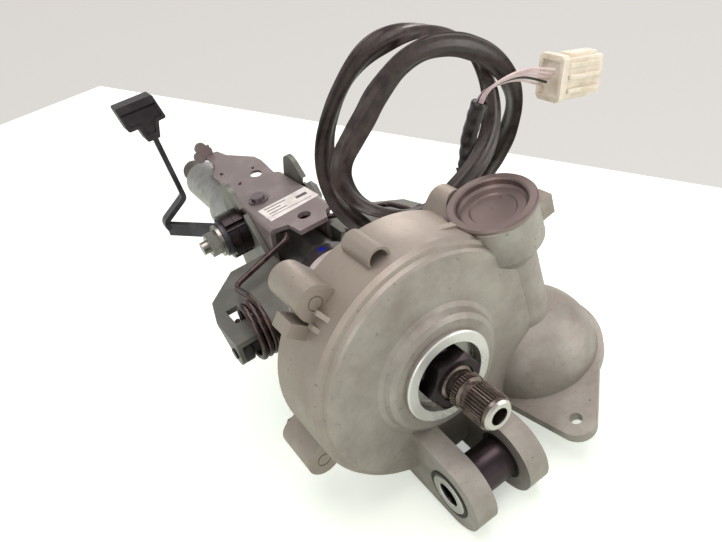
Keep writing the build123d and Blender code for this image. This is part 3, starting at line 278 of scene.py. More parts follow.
@dataclass(frozen=True)
class DieCastAluminium(Finish):
    """Die-cast aluminium, shot-blasted and then turned bright where parts seat.

    The blasted skin is a matt, slightly warm grey with handling stains, browner on the round band
    than on the faces. Its grit is about 0.2 mm, drawn at 0.8 mm so that it shows. The turned faces
    are smooth and lighter, with tool rings.

    Attributes:
        warm: Browner colour given to the round band behind the faces.
        pit: Colour of the small pits and specks.
        bright: Colour of the turned faces.
        bright_roughness: Their roughness.
        ring_radius: Radius of the turned ring round the shaft.
        ring_face: Station of the ring's face, a little behind it.
        face_end: Station where the face ends and the band starts.
        face_blend: Half the length over which the one goes into the other.
        band_least: Share of the warm colour in the band's palest places.
        tool_pitch_mm: Distance between two tool rings.
        tides: Wide, soft changes of the band's warmth.
        specks: Small dark specks.
    """

    name: str = "die_cast_aluminium"
    colour: str = "#A9A59E"
    shade: str = "#938C85"
    roughness: float = 0.46
    metallic: float = 0.7
    patches: Patches = Patches(24, 5, 0.62, 0.36, 0.68)
    dulling: float = 0.14
    grain: Patches = Patches(0.8, 2, 0.5)
    relief_mm: float = 0.09
    relief_strength: float = 0.35
    warm: str = "#A59A90"
    pit: str = "#736B63"
    bright: str = "#DEDEDA"
    bright_roughness: float = 0.24
    ring_radius: float = 0.0252
    ring_face: float = 0.0166
    face_end: float = 0.0262
    face_blend: float = 0.003
    band_least: float = 0.55
    tool_pitch_mm: float = 0.5
    tides: Patches = Patches(60, 3, 0.5, 0.4, 0.62)
    specks: Patches = Patches(2.4, 4, 0.7, 0.63, 0.72)

    def turned_faces(self, tree: bpy.types.NodeTree, radius: Socket, along: Socket) -> Socket:
        """Pattern that is 1 on the turned ring round the shaft."""
        inside = sum_of(tree, "LESS_THAN", radius, self.ring_radius)
        return sum_of(tree, "MULTIPLY", inside, sum_of(tree, "LESS_THAN", along, self.ring_face))

    def skin(self, draft: Draft, stains: Socket, along: Socket) -> Socket:
        """Colour of the blasted skin, with its stains, its warm band and its specks."""
        tree = draft.tree
        band = ramp(tree, along, self.face_end - self.face_blend, self.face_end + self.face_blend)
        warmth = blend_values(tree, draft.cut(self.tides), self.band_least, 1.0)
        colour = blend_colours(tree, stains, self.colour, self.shade)
        colour = blend_colours(tree, sum_of(tree, "MULTIPLY", band, warmth), colour, self.warm)
        return blend_colours(tree, draft.cut(self.specks), colour, self.pit)

    def build(self) -> bpy.types.Material:
        """Make the material."""
        draft = self.start()
        tree = draft.tree
        axes = draft.axes()
        rise = sum_of(tree, "SUBTRACT", axes[2], AXIS_Z)
        across = add_node(tree, "ShaderNodeCombineXYZ", {0: axes[0], 1: rise}).outputs[0]
        radius = add_node(tree, "ShaderNodeVectorMath", {0: across},
                          operation="LENGTH").outputs["Value"]
        stains = draft.cut(self.patches)
        turned = self.turned_faces(tree, radius, axes[1])
        rings_per_metre = 2 * math.pi * per_metre(self.tool_pitch_mm)
        tool = sum_of(tree, "SINE", sum_of(tree, "MULTIPLY", radius, rings_per_metre))
        rough = blend_values(tree, turned, self.roughness, self.bright_roughness)
        skin = self.skin(draft, stains, axes[1])
        draft.feed("Base Color", blend_colours(tree, turned, skin, self.bright))
        draft.feed("Roughness", sum_of(tree, "MULTIPLY_ADD", stains, self.dulling, rough))
        self.roughen(draft, blend_values(tree, turned, draft.bare(self.grain), tool))
        return draft.material


@dataclass(frozen=True)
class CoatedSteel(Finish):
    """Pressed steel sheet with a thin dipped or phosphated coat.

    The coat is smooth and satin, shows faint flow over the sheet, and carries dust in its lighter
    patches. Its orange peel is about 1.5 mm across.

    Attributes:
        scratch: Colour of the scratches.
        scratches: Their pattern, before it is drawn out.
        scratch_turn: Turn of the scratches, in radians about each axis.
        scratch_stretch: How much their pattern is squeezed along each axis.
    """

    name: str = "black_electrocoat"
    colour: str = "#2A2827"
    shade: str = "#4A4541"
    roughness: float = 0.38
    patches: Patches = Patches(20, 6, 0.68, 0.45, 0.75)
    dulling: float = 0.22
    grain: Patches = Patches(1.5, 2)
    scratch: str = "#6B6660"
    scratches: Patches = Patches(9, 6, 0.7, 0.68, 0.74)
    scratch_turn: Point = (0.4, 0.9, 0.5)
    scratch_stretch: Point = (1.0, 14.0, 3.0)

    def coat(self, draft: Draft, dust: Socket) -> Socket:
        """Colour of the coat, with its dust and its scratches."""
        streaks = draft.stretched(Rotation=self.scratch_turn, Scale=self.scratch_stretch)
        colour = blend_colours(draft.tree, dust, self.colour, self.shade)
        return blend_colours(draft.tree, draft.cut(self.scratches, streaks), colour, self.scratch)

    def build(self) -> bpy.types.Material:
        """Make the material."""
        draft = self.start()
        dust = draft.cut(self.patches)
        draft.feed("Base Color", self.coat(draft, dust))
        draft.dull(dust, self.roughness, self.dulling)
        self.roughen(draft)
        return draft.material


@dataclass(frozen=True)
class MachinedSteel(Finish):
    """Turned or ground steel, bare or with a thin plating.

    Fine tool marks run round the turned axis; they are 0.3 mm apart and drawn at 0.7 mm. Oil and
    a little rust dull it in patches. An end that was faced last may be left bright.

    Attributes:
        axis: Axis that the piece was turned about: 0 for X, 1 for Y, 2 for Z.
        tool_squeeze: How much the tool marks' pattern is squeezed along that axis.
        end_colour: Colour of the bright ends, or nothing.
        end_side: -1 for the end on the axis' low side, 0 for both ends.
        end_from: Distance from the origin where the bright end starts.
    """

    name: str = "machined_steel"
    colour: str = "#A5A19B"
    shade: str = "#5E554C"
    roughness: float = 0.27
    metallic: float = 1.0
    patches: Patches = Patches(7, 5, 0.66, 0.56, 0.78)
    dulling: float = 0.3
    grain: Patches = Patches(20, 4, 0.6)
    relief_strength: float = 0.25
    axis: int = 1
    tool_squeeze: float = 28.0
    end_colour: str = ""
    end_side: int = 0
    end_from: float = 0.0

    def bright_end(self, draft: Draft) -> Socket:
        """Pattern that is 1 on the bright ends."""
        operation = "MULTIPLY" if self.end_side else "ABSOLUTE"
        reach = sum_of(draft.tree, operation, draft.axes()[self.axis], float(self.end_side))
        return sum_of(draft.tree, "GREATER_THAN", reach, self.end_from)

    def build(self) -> bpy.types.Material:
        """Make the material."""
        draft = self.start()
        film = draft.cut(self.patches)
        colour = blend_colours(draft.tree, film, self.colour, self.shade)
        if self.end_colour:
            colour = blend_colours(draft.tree, self.bright_end(draft), colour, self.end_colour)
        draft.feed("Base Color", colour)
        draft.dull(film, self.roughness, self.dulling)
        squeeze = [1.0, 1.0, 1.0]
        squeeze[self.axis] = self.tool_squeeze
        self.roughen(draft, draft.bare(self.grain, draft.stretched(Scale=squeeze)))
        return draft.material


@dataclass(frozen=True)
class MouldedPlastic(Finish):
    """Injection-moulded plastic with a fine spark-eroded skin.

    The skin is even and slightly matt; its grain is 0.3 mm, drawn at 0.9 mm. Handling leaves
    paler, duller patches.

    Attributes:
        subsurface: Share of the light that goes into the plastic.
        spread: How far red, green and blue light go in it, in metres.
        spread_scale: Factor on that distance.
    """

    name: str = "moulded_black"
    colour: str = "#1B1A1A"
    shade: str = "#35312F"
    roughness: float = 0.46
    patches: Patches = Patches(11, 4, 0.6, 0.42, 0.72)
    dulling: float = 0.14
    grain: Patches = Patches(0.9, 2)
    relief_mm: float = 0.04
    subsurface: float = 0.0
    spread: Point = (0.004, 0.0036, 0.0028)
    spread_scale: float = 0.5

    def build(self) -> bpy.types.Material:
        """Make the material."""
        draft = self.weathered()
        draft.glow(self.subsurface, self.spread, self.spread_scale)
        return draft.material


@dataclass(frozen=True)
class VinylSleeving(Finish):
    """Soft PVC sleeving, extruded flat, that creases over the wires inside.

    It is a warm brown-black with a dull gloss, darker in the creases. Its paler, rougher patches are
    partly dust and partly a painted sheen.
    """

    name: str = "vinyl_sleeving"
    colour: str = "#251B19"
    # Paler colour of the patches: partly dust, partly a painted sheen.
    shade: str = "#3F312D"
    roughness: float = 0.3
    patches: Patches = Patches(6, 5, 0.6, 0.4, 0.7)
    dulling: float = 0.2
    grain: Patches = Patches(2.2, 5, 0.62)
    relief_mm: float = 0.25
    relief_strength: float = 0.5


@dataclass(frozen=True)
class MarkedJacket(CoatedSteel):
    """The lower jacket's black coat, with its pale paper band and a dab of blue inspection paint.

    The band is wound round the tube and carries plain ticks only. The coat has a purplish sheen.

    Attributes:
        band_start: Station where the paper band starts.
        band_end: Station where it ends.
        paper: Colour of the paper.
        soiled: Colour of the soil on it.
        soil: Pattern of that soil.
        ink: Colour of the printed ticks.
        ticks: Number of printed ticks on half the band's turn.
        tick_share: Share of their spacing that the ticks fill.
        tick_length: Length of a tick along the column.
        paint: Colour of the dab of paint.
        dab: Middle of the dab.
        dab_radius: Its rough radius.
        dab_wobble: How far its edge wanders.
    """

    name: str = "jacket_black_with_band"
    colour: str = "#383034"
    shade: str = "#544A50"
    roughness: float = 0.3
    metallic: float = 0.35
    band_start: float = 0.1055
    band_end: float = 0.1185
    paper: str = "#DCD0CC"
    soiled: str = "#B3A59F"
    soil: Patches = Patches(5, 4, 0.55, 0.5, 0.8)
    ink: str = "#3B3436"
    ticks: int = 9
    tick_share: float = 0.3
    tick_length: float = 0.0045
    paint: str = "#1B2AA8"
    dab: Point = (-0.0004, 0.1232, 0.0760)
    dab_radius: float = 0.0024
    dab_wobble: float = 0.0016

    def band_paper(self, draft: Draft, axes: Sequence[Socket], away: Socket) -> Socket:
        """Colour of the paper band, with its soil and its ticks, by the distance from its middle."""
        tree = draft.tree
        angle = sum_of(tree, "ARCTAN2", axes[0], sum_of(tree, "SUBTRACT", axes[2], AXIS_Z))
        turn = sum_of(tree, "FRACT", sum_of(tree, "MULTIPLY", angle, self.ticks / math.pi))
        tick = sum_of(tree, "MULTIPLY", sum_of(tree, "LESS_THAN", turn, self.tick_share),
                      sum_of(tree, "LESS_THAN", away, self.tick_length / 2))
        paper = blend_colours(tree, draft.cut(self.soil), self.paper, self.soiled)
        return blend_colours(tree, tick, paper, self.ink)

    def paint_dab(self, draft: Draft) -> Socket:
        """Pattern that is 1 on the dab of paint, whose edge wanders."""
        tree = draft.tree
        reach = add_node(tree, "ShaderNodeVectorMath", {0: draft.place, 1: self.dab},
                         operation="DISTANCE").outputs["Value"]
        reach = sum_of(tree, "MULTIPLY_ADD", draft.bare(Patches(2.0)), self.dab_wobble, reach)
        return sum_of(tree, "LESS_THAN", reach, self.dab_radius + self.dab_wobble / 2)

    def coat(self, draft: Draft, dust: Socket) -> Socket:
        """Colour of the coat, under the paper band and the dab of paint."""
        tree = draft.tree
        axes = draft.axes()
        centre = (self.band_start + self.band_end) / 2
        away = sum_of(tree, "ABSOLUTE", sum_of(tree, "SUBTRACT", axes[1], centre))
        band = sum_of(tree, "LESS_THAN", away, (self.band_end - self.band_start) / 2)
        coat = super().coat(draft, dust)
        colour = blend_colours(tree, band, coat, self.band_paper(draft, axes, away))
        return blend_colours(tree, self.paint_dab(draft), colour, self.paint)


@dataclass(frozen=True)
class PaperLabel(Finish):
    """Matt coated paper with an acrylic back, left without words.

    Only a few plain grey rules are printed on it, and its surface is slightly soiled.

    Attributes:
        ink: Colour of the printed rules.
        rules: Each rule's station along the column, its two ends across it and its half width.
    """

    name: str = "label_paper"
    colour: str = "#E2DDDA"
    shade: str = "#C6BEBA"
    roughness: float = 0.5
    patches: Patches = Patches(8, 4, 0.55, 0.45, 0.75)
    grain: Patches = Patches(1.2, 3)
    relief_mm: float = 0.02
    ink: str = "#5A5152"
    rules: tuple[tuple[float, float, float, float], ...] = (
        (0.1652, -0.0115, 0.0030, 0.0005), (0.1618, -0.0115, -0.0020, 0.0005),
        (0.1584, -0.0115, 0.0005, 0.0005), (0.1552, -0.0115, 0.0160, 0.0003),
        (0.1615, 0.0085, 0.0160, 0.0016))

    def build(self) -> bpy.types.Material:
        """Make the material."""
        draft = self.start()
        tree = draft.tree
        colour = blend_colours(tree, draft.cut(self.patches), self.colour, self.shade)
        axes = draft.axes()
        for station, start, end, half in self.rules:
            line = sum_of(tree, "COMPARE", axes[1], station, half)
            reach = sum_of(tree, "COMPARE", axes[0], (start + end) / 2, (end - start) / 2)
            colour = blend_colours(tree, sum_of(tree, "MULTIPLY", line, reach), colour, self.ink)
        draft.feed("Base Color", colour)
        self.roughen(draft)
        return draft.material


@dataclass(frozen=True)
class CloudedNylon(MouldedPlastic):
    """Natural nylon 66 as moulded: milky ivory that lets a little light through.

    Thin walls glow slightly and edges look softer than on a filled plastic.
    """

    name: str = "natural_nylon"
    colour: str = "#E9E1D2"
    shade: str = "#D6CAB6"
    roughness: float = 0.32
    patches: Patches = Patches(7, 3, 0.55, 0.4, 0.7)
    dulling: float = 0.0
    grain: Patches = Patches(1.0, 2)
    relief_mm: float = 0.03
    relief_strength: float = 0.25
    subsurface: float = 0.35
    spread: Point = (0.004, 0.0035, 0.0025)
    spread_scale: float = 0.6


CAST = DieCastAluminium()
LEVER_COAT = CoatedSteel(name="lever_black_coat", colour="#3C3B40", shade="#5A595F",
                         roughness=0.34, metallic=0.6)
TAUPE_COAT = CoatedSteel(name="pressed_bracket_phosphate", colour="#8A7E7D", shade="#9D9190",
                         roughness=0.36, metallic=0.5)
PHOSPHATE = CoatedSteel(name="olive_phosphate", colour="#6C6C66", shade="#7E7D76", roughness=0.4,
                        metallic=0.5, patches=Patches(20, 6, 0.68, 0.4, 0.7))
JACKET = MarkedJacket()
STEEL = MachinedSteel()
TUBE_STEEL = MachinedSteel(name="drawn_tube_steel", colour="#A9A8A5", shade="#8C8A87",
                           roughness=0.34, patches=Patches(7, 5, 0.66, 0.4, 0.9))
SHAFT_STEEL = MachinedSteel(name="oiled_shaft_steel", colour="#857A74", shade="#453A33",
                            roughness=0.26, patches=Patches(7, 5, 0.66, 0.42, 0.72),
                            end_colour="#C9C6C0", end_side=-1, end_from=0.0156)
SLEEVE_STEEL = MachinedSteel(name="oiled_sleeve_steel", colour="#4A4145", shade="#3A3236",
                             roughness=0.3, axis=0, end_colour="#C4C3BE", end_from=0.0222)
PLATED = MachinedSteel(name="zinc_plated_steel", colour="#9C9994", shade="#6A655E", roughness=0.3,
                       axis=2)
RIVET = MachinedSteel(name="rivet_steel", colour="#8A7F82", shade="#5F5558", roughness=0.4, axis=2)
GROUND = MachinedSteel(name="bearing_steel", colour="#8F8D8A", shade="#5A5754", roughness=0.22)
PLUG = MachinedSteel(name="turned_plug_steel", colour="#8E7F7C", shade="#77696A", roughness=0.38,
                     axis=2)
DARK_STEEL = MachinedSteel(name="black_oxide_steel", colour="#3A3436", shade="#514740",
                           roughness=0.34)
WIRE = MachinedSteel(name="oil_tempered_wire", colour="#4A4040", shade="#6B5A55", roughness=0.28,
                     patches=Patches(7, 5, 0.66, 0.45, 0.7))
MOULDED = MouldedPlastic()
KNOB = MouldedPlastic(name="knob_nylon_black", colour="#241E22", shade="#3A3138", roughness=0.4)
BUSH = MouldedPlastic(name="bush_polyurethane", colour="#141313", shade="#262322", roughness=0.5)
CAPSULE = MouldedPlastic(name="capsule_resin", colour="#CFCCC4", shade="#B0AB9F", roughness=0.4,
                         subsurface=0.1)
WHEEL_NYLON = MouldedPlastic(name="wheel_nylon", colour="#CDBF9A", shade="#B7A67F", roughness=0.42,
                             subsurface=0.1)
VINYL = VinylSleeving()
SHRINK = VinylSleeving(name="sleeve_end_black", colour="#191516", shade="#332C2D", roughness=0.34)
LEAD_PALE = MouldedPlastic(name="lead_pvc_pale", colour="#D8C3C3", shade="#C3ABAD", roughness=0.3)
LEAD_DARK = MouldedPlastic(name="lead_pvc_black", colour="#1D1A1C", shade="#2C2729", roughness=0.3)
RUBBER = MouldedPlastic(name="grommet_rubber", colour="#1A1919", shade="#2B2827", roughness=0.6)
CONNECTOR = CloudedNylon()
LABEL = PaperLabel()

NODE_FINISHES: dict[Finish, tuple[str, ...]] = {
    CAST: ("gear_housing", "housing_rear_cover"),
    PLATED: ("housing_bolts", "tilt_bolt", "tilt_nut", "thrust_washer"),
    RIVET: ("bracket_rivet",),
    GROUND: ("output_bearings", "worm_bearings", "upper_bearing"),
    PLUG: ("worm_plug",),
    STEEL: ("wheel_hub", "worm_shaft", "sensor_sleeve"),
    SHAFT_STEEL: ("output_shaft", "upper_shaft", "torsion_bar"),
    TUBE_STEEL: ("upper_jacket",),
    SLEEVE_STEEL: ("pivot_sleeve",),
    DARK_STEEL: ("output_nut", "worm_coupling", "spring_pins", "fixed_cam", "moving_cam"),
    WHEEL_NYLON: ("wheel_rim",),
    BUSH: ("pivot_bushes",),
    JACKET: ("lower_jacket",),
    LEVER_COAT: ("lever_arm",),
    TAUPE_COAT: ("distance_bracket", "switch_bracket"),
    PHOSPHATE: ("breakaway_bracket",),
    CAPSULE: ("capsules",),
    MOULDED: ("sensor_coil", "spring_sleeves"),
    KNOB: ("lever_knob",),
    WIRE: ("tilt_springs",),
    RUBBER: ("harness_grommet",),
    VINYL: ("harness_tube",),
    SHRINK: ("harness_sleeve",),
    LEAD_PALE: ("harness_leads",),
    CONNECTOR: ("harness_connector",),
}


class Materials:
    """Makes each finish once and hands out its material."""

    def __init__(self) -> None:
        """Start with no material made."""
        self.made: dict[Finish, bpy.types.Material] = {}

    def of(self, finish: Finish) -> bpy.types.Material:
        """Return the material of a finish, made on first use."""
        if finish not in self.made:
            self.made[finish] = finish.build()
        return self.made[finish]

    def dress(self, obj: bpy.types.Object, finish: Finish) -> None:
        """Give an object one material all over."""
        obj.data.materials.clear()
        obj.data.materials.append(self.of(finish))


def mesh_object(name: str, points: Sequence[Sequence[float]], faces: Sequence[tuple[int, ...]],
                smooth: bool = True) -> bpy.types.Object:
    """Make a mesh object in the part's frame, in metres, and link it to the scene."""
    mesh = bpy.data.meshes.new(name)
    mesh.from_pydata([tuple(p) for p in points], [], faces)
    mesh.validate()
    for polygon in mesh.polygons:
        polygon.use_smooth = smooth
    obj = bpy.data.objects.new(name, mesh)
    bpy.context.scene.collection.objects.link(obj)
    return obj


def route_curve(name: str, route: Sequence[Point]) -> bpy.types.Object:
    """Lay a smooth NURBS spline on a route's control points.

    Args:
        name: Name of the curve object.
        route: Control points in metres.

    Returns:
        The curve object, without thickness.
    """
    data = bpy.data.curves.new(name, "CURVE")
    data.dimensions = "3D"
    data.resolution_u = 24
    spline = data.splines.new("NURBS")
    spline.points.add(len(route) - 1)
    for point, place in zip(spline.points, route):
        point.co = (*place, 1.0)
    spline.order_u = 3
    spline.use_endpoint_u = True
    obj = bpy.data.objects.new(name, data)
    bpy.context.scene.collection.objects.link(obj)
    return obj


def centreline(route: Sequence[Point], step: float) -> list[Vector]:
    """Read a route's smooth line at even steps.

    Args:
        route: Control points in metres.
        step: Distance between the points returned.

    Returns:
        Points along the line, both ends included.
    """
    curve = route_curve("route", route)
    bpy.context.view_layer.update()
    drawn = curve.evaluated_get(bpy.context.evaluated_depsgraph_get())
    mesh = bpy.data.meshes.new_from_object(drawn)
    line = [v.co.copy() for v in mesh.vertices]
    bpy.data.objects.remove(curve)
    bpy.data.meshes.remove(mesh)
    reach = [0.0]
    for a, b in zip(line, line[1:]):
        reach.append(reach[-1] + (b - a).length)
    count = max(2, round(reach[-1] / step))
    points, i = [], 0
    for k in range(count + 1):
        target = reach[-1] * k / count
        while i < len(line) - 2 and reach[i + 1] < target:
            i += 1
        part = (target - reach[i]) / max(reach[i + 1] - reach[i], 1e-9)
        points.append(line[i].lerp(line[i + 1], min(max(part, 0.0), 1.0)))
    return points


def line_length(points: Sequence[Vector]) -> float:
    """Length of a line of points."""
    return sum((b - a).length for a, b in zip(points, points[1:]))


@dataclass
class SoftTube:
    """A soft tube drawn ring by ring along a smooth line.

    Attributes:
        name: Name of the piece.
        line: Points that its rings stand on.
        section: Gives a ring point's offset across and up, from the distance along and the angle.
        sides: Number of points in a ring.
    """

    name: str
    line: list[Vector]
    section: Callable[[float, float], tuple[float, float]]
    sides: int = 24

    def build(self) -> bpy.types.Object:
        """Make the tube with closed ends."""
        points: list[Vector] = []
        faces: list[tuple[int, ...]] = []
        side = None
        along = 0.0
        last = len(self.line) - 1
        for i, place in enumerate(self.line):
            ahead = (self.line[min(i + 1, last)] - self.line[max(i - 1, 0)]).normalized()
            if side is None:
                side = ahead.orthogonal().normalized()
            side = (side - ahead * side.dot(ahead)).normalized()
            up = ahead.cross(side)
            for k in range(self.sides):
                across, rise = self.section(along, 2 * math.pi * k / self.sides)
                points.append(place + side * across + up * rise)
            if i < last:
                along += (self.line[i + 1] - place).length
        for i in range(last):
            for k in range(self.sides):
                a, b = i * self.sides + k, i * self.sides + (k + 1) % self.sides
                faces.append((a, b, b + self.sides, a + self.sides))
        faces.append(tuple(reversed(range(self.sides))))
        faces.append(tuple(range(last * self.sides, (last + 1) * self.sides)))
        return mesh_object(self.name, points, faces)


def scaled(points: Sequence[Point]) -> list[Point]:
    """Turn control points from millimetres to metres."""
    return [tuple(c / 1000 for c in point) for point in points]


@dataclass(frozen=True)
class Wave:
    """A sine along a cord.

    Attributes:
        depth: Its height.
        rate: Radians per metre.
        start: Radians at the cord's start.
    """

    depth: float
    rate: float
    start: float = 0.0

    def at(self, along: float) -> float:
        """Height at a distance along the cord."""
        return self.depth * math.sin(self.rate * along + self.start)


def lumps(rates: Point, along: float, angle: float) -> float:
    """Soft noise on a cord's skin, from -1 to 1, at a distance along it and an angle round it."""
    stretch, across, rise = rates
    return noise.noise(Vector((along * stretch, across * math.cos(angle), rise * math.sin(angle))))


@dataclass
class SensorHarness:
    """The torque sensor's harness: sleeving, its black end, five wires and the connector.

    Attributes:
        route: Control points of the sleeving, millimetres, as in the part's source.
        sleeve_route: Control points of the black end.
        lead_route: Control points of the middle wire.
        width: Width of the flat sleeving.
        height: Thickness of the flat sleeving.
        edge: Thickness of the vinyl itself, on each face.
        edge_power: How squarely its outline runs into the folded edges.
        crown_power: How late its thickness falls off towards them.
        fold_depth: Half the share of the thickness that a fold takes away.
        fold_rate: Radians of fold from the middle to an edge.
        swell: Share by which its outline wanders.
        swell_rates: How fast it wanders along, across and up.
        twists: Waves of its twist, in radians.
        drift: Steady twist, in radians per metre.
        drape: Wave that moves the folds across the sleeving.
        sleeve_radius: Radius of the black end.
        sleeve_flatness: Its height against its width.
        wrinkle: Wave of the wrinkles at its start.
        wrinkle_fade: How fast they die out, per metre.
        lump: Height of the lumps that the wires make in it.
        lump_rates: How fast the lumps change along, across and up.
        lead_radius: Radius of a wire.
        lead_count: Number of wires.
        dark_lead: The one wire that is black, counted from 0.
        lead_gap: Distance between two wires where they start, in millimetres.
        lead_fan: Share by which that grows from one control point to the next.
        lead_drop: How much lower each wire runs than the last one there, in millimetres.
    """

    route: list[Point] = field(default_factory=lambda: [
        (14, 70, 94), (14, 87, 94), (6, 102, 110), (7, 107, 136), (18, 105, 160), (38, 102, 179),
        (66, 101, 181), (92, 100, 170), (107, 97, 148), (106, 91, 124), (90, 81, 111), (68, 78, 100),
        (46, 80, 93), (26, 85, 100), (8, 88, 117), (5, 89, 138), (23, 91, 150), (37, 90, 164),
        (56, 87, 175), (80, 86, 172), (103, 86, 157), (119, 89, 135), (126, 97, 112), (124, 109, 88),
        (115, 119, 66), (101, 121, 46), (86, 111, 34), (77, 95, 42), (76, 84, 62), (77, 85, 83),
        (80, 88, 102)])
    sleeve_route: list[Point] = field(default_factory=lambda: [
        (80, 88, 102), (83, 88.6, 113.4), (86, 86.4, 125), (90, 83, 137)])
    lead_route: list[Point] = field(default_factory=lambda: [
        (90, 83, 137), (91.6, 81.6, 141.8), (99, 78.4, 145.2), (111, 77, 145), (125, 79, 139.5),
        (139.8, 83, 131)])
    width: float = 0.0118
    height: float = 0.0046
    edge: float = 0.0005
    edge_power: float = 0.8
    crown_power: int = 3
    fold_depth: float = 0.38
    fold_rate: float = 5.2
    swell: float = 0.07
    swell_rates: Point = (70.0, 1.6, 1.2)
    twists: tuple[Wave, ...] = (Wave(0.75, 27), Wave(0.35, 61, 1.3))
    drift: float = 1.6
    drape: Wave = Wave(1.1, 40)
    sleeve_radius: float = 0.0045
    sleeve_flatness: float = 0.92
    wrinkle: Wave = Wave(0.0004, 900)
    wrinkle_fade: float = 40.0
    lump: float = 0.0005
    lump_rates: Point = (180.0, 3.0, 3.0)
    lead_radius: float = 0.00075
    lead_count: int = 5
    dark_lead: int = 3
    lead_gap: float = 0.9
    lead_fan: float = 0.35
    lead_drop: float = 0.55

    def sleeving_section(self, along: float, angle: float) -> tuple[float, float]:
        """Offset of a point of the sleeving: a flat, slowly twisting ribbon with folded edges.

        The ribbon narrows to its edges, is thinner where a fold runs, and its outline wanders a
        little. All of it turns by the twist.
        """
        twist = sum(wave.at(along) for wave in self.twists) + self.drift * along
        side = math.cos(angle)
        face = math.sin(angle)
        across = self.width / 2 * math.copysign(abs(side) ** self.edge_power, side)
        fullness = 1 - abs(side) ** self.crown_power
        fold = math.cos(side * self.fold_rate + self.drape.at(along))
        fold = 1 - self.fold_depth + self.fold_depth * fold
        rise = self.height / 2 * math.copysign(1.0, face) * fullness * fold + self.edge * face
        swell = 1 + self.swell * lumps(self.swell_rates, along, angle)
        return ((across * math.cos(twist) - rise * math.sin(twist)) * swell,
                (across * math.sin(twist) + rise * math.cos(twist)) * swell)

    def sleeve_section(self, along: float, angle: float) -> tuple[float, float]:
        """Offset of a point of the black end, wrinkled where it was pushed together.

        The wrinkles die out within a few centimetres, and small lumps show the wires inside.
        """
        fade = math.exp(-along * self.wrinkle_fade)
        radius = self.sleeve_radius + self.wrinkle.at(along) * fade
        radius += self.lump * lumps(self.lump_rates, along, angle)
        return radius * math.cos(angle), radius * math.sin(angle) * self.sleeve_flatness

    def lead_points(self, number: int) -> list[Point]:
        """Control points of one wire, spread from the middle one as in the part's source."""
        spread = number - self.lead_count // 2
        return [(x, y + self.lead_gap * spread * (1 + self.lead_fan * step),
                 z - self.lead_drop * spread * step)
                for step, (x, y, z) in enumerate(self.lead_route)]

    def build_lead(self, number: int) -> bpy.types.Object:
        """Draw one wire as a round curve with closed ends."""
        lead = route_curve(f"harness_lead_{number + 1}", scaled(self.lead_points(number)))
        lead.data.bevel_depth = self.lead_radius
        lead.data.bevel_resolution = 3
        lead.data.use_fill_caps = True
        return lead

    def build(self, materials: Materials) -> None:
        """Make the harness and put it on the column."""
        line = centreline(scaled(self.route), 0.002)
        tube = SoftTube("harness_sleeving", line, self.sleeving_section).build()
        end = centreline(scaled(self.sleeve_route), 0.0012)
        sleeve = SoftTube("harness_sleeve_end", end, self.sleeve_section).build()
        leads = [self.build_lead(number) for number in range(self.lead_count)]
        for piece, finish, node in ((tube, VINYL, "harness_tube"), (sleeve, SHRINK, "harness_sleeve")):
            materials.dress(piece, finish)
            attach(piece, "column")
            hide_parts(node)
        for number, lead in enumerate(leads):
            materials.dress(lead, LEAD_DARK if number == self.dark_lead else LEAD_PALE)
            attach(lead, "column")
            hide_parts("harness_leads")
        LOG.info("harness: sleeving %.0f mm, %d wires", 1000 * line_length(line), self.lead_count)


@dataclass
class InspectionLabel:
    """The paper label on the distance bracket's top, without words.

    Attributes:
        corners: Its four corners on the plate, metres.
        height: Height of the plate's top.
        glue: Height of the paper above the plate.
        thickness: Thickness of the paper.
        columns: Number of its mesh's cells along the long side.
        rows: Number of its mesh's cells along the short side.
        lift: Height that the corner would curl to where the sum is one past lift_from.
        lift_from: Sum of the shares along the two sides where the lift starts.
        lift_power: How sharply the corner curls.
        ripple: Height of the paper's small ripples.
        ripple_rate: How fast they change, per metre.
    """

    corners: tuple[tuple[float, float], ...] = (
        (-0.0145, 0.1502), (0.0196, 0.1522), (0.0190, 0.1690), (-0.0147, 0.1677))
    height: float = 0.0910
    glue: float = 0.00008
    thickness: float = 0.00012
    columns: int = 28
    rows: int = 14
    lift: float = 0.0006
    lift_from: float = 1.75
    lift_power: float = 1.5
    ripple: float = 0.00003
    ripple_rate: float = 300.0

    def point(self, along: float, across: float) -> Vector:
        """Point of the sheet at a share of its long side and of its short side."""
        a, b, c, d = (Vector((*corner, 0.0)) for corner in self.corners)
        place = a.lerp(b, along).lerp(d.lerp(c, along), across)
        rise = self.lift * max(0.0, along + across - self.lift_from) ** self.lift_power
        rise += self.ripple * noise.noise(place * self.ripple_rate)
        place.z = self.height + self.glue + rise
        return place

    def build(self, materials: Materials) -> None:
        """Make the label as a thin sheet that follows the plate, with one lifted corner."""
        points = [self.point(i / self.columns, j / self.rows)
                  for j in range(self.rows + 1) for i in range(self.columns + 1)]
        row = self.columns + 1
        faces = [(k, k + 1, k + row + 1, k + row)
                 for j in range(self.rows) for k in range(j * row, j * row + self.columns)]
        label = mesh_object("inspection_label", points, faces)
        thick = label.modifiers.new("paper", "SOLIDIFY")
        thick.thickness = self.thickness
        materials.dress(label, LABEL)
        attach(label, "column")
        LOG.info("label: %d faces", len(faces))


class Lamp(Enum):
    """The soft lamps of the studio, each with its place, its diameter and its power in watts."""

    OVERHEAD = ((0.10, 0.10, 1.30), 1.20, 10.5)
    WINDOW = ((-1.00, -0.70, 0.80), 0.80, 4.0)
    SIDE = ((1.00, -0.75, 0.40), 0.80, 6.0)
    RIM = ((0.90, 1.00, 0.70), 0.60, 4.0)

    def __init__(self, place: Point, diameter: float, power: float) -> None:
        """Keep a lamp's three values by name."""
        self.place = place
        self.diameter = diameter
        self.power = power


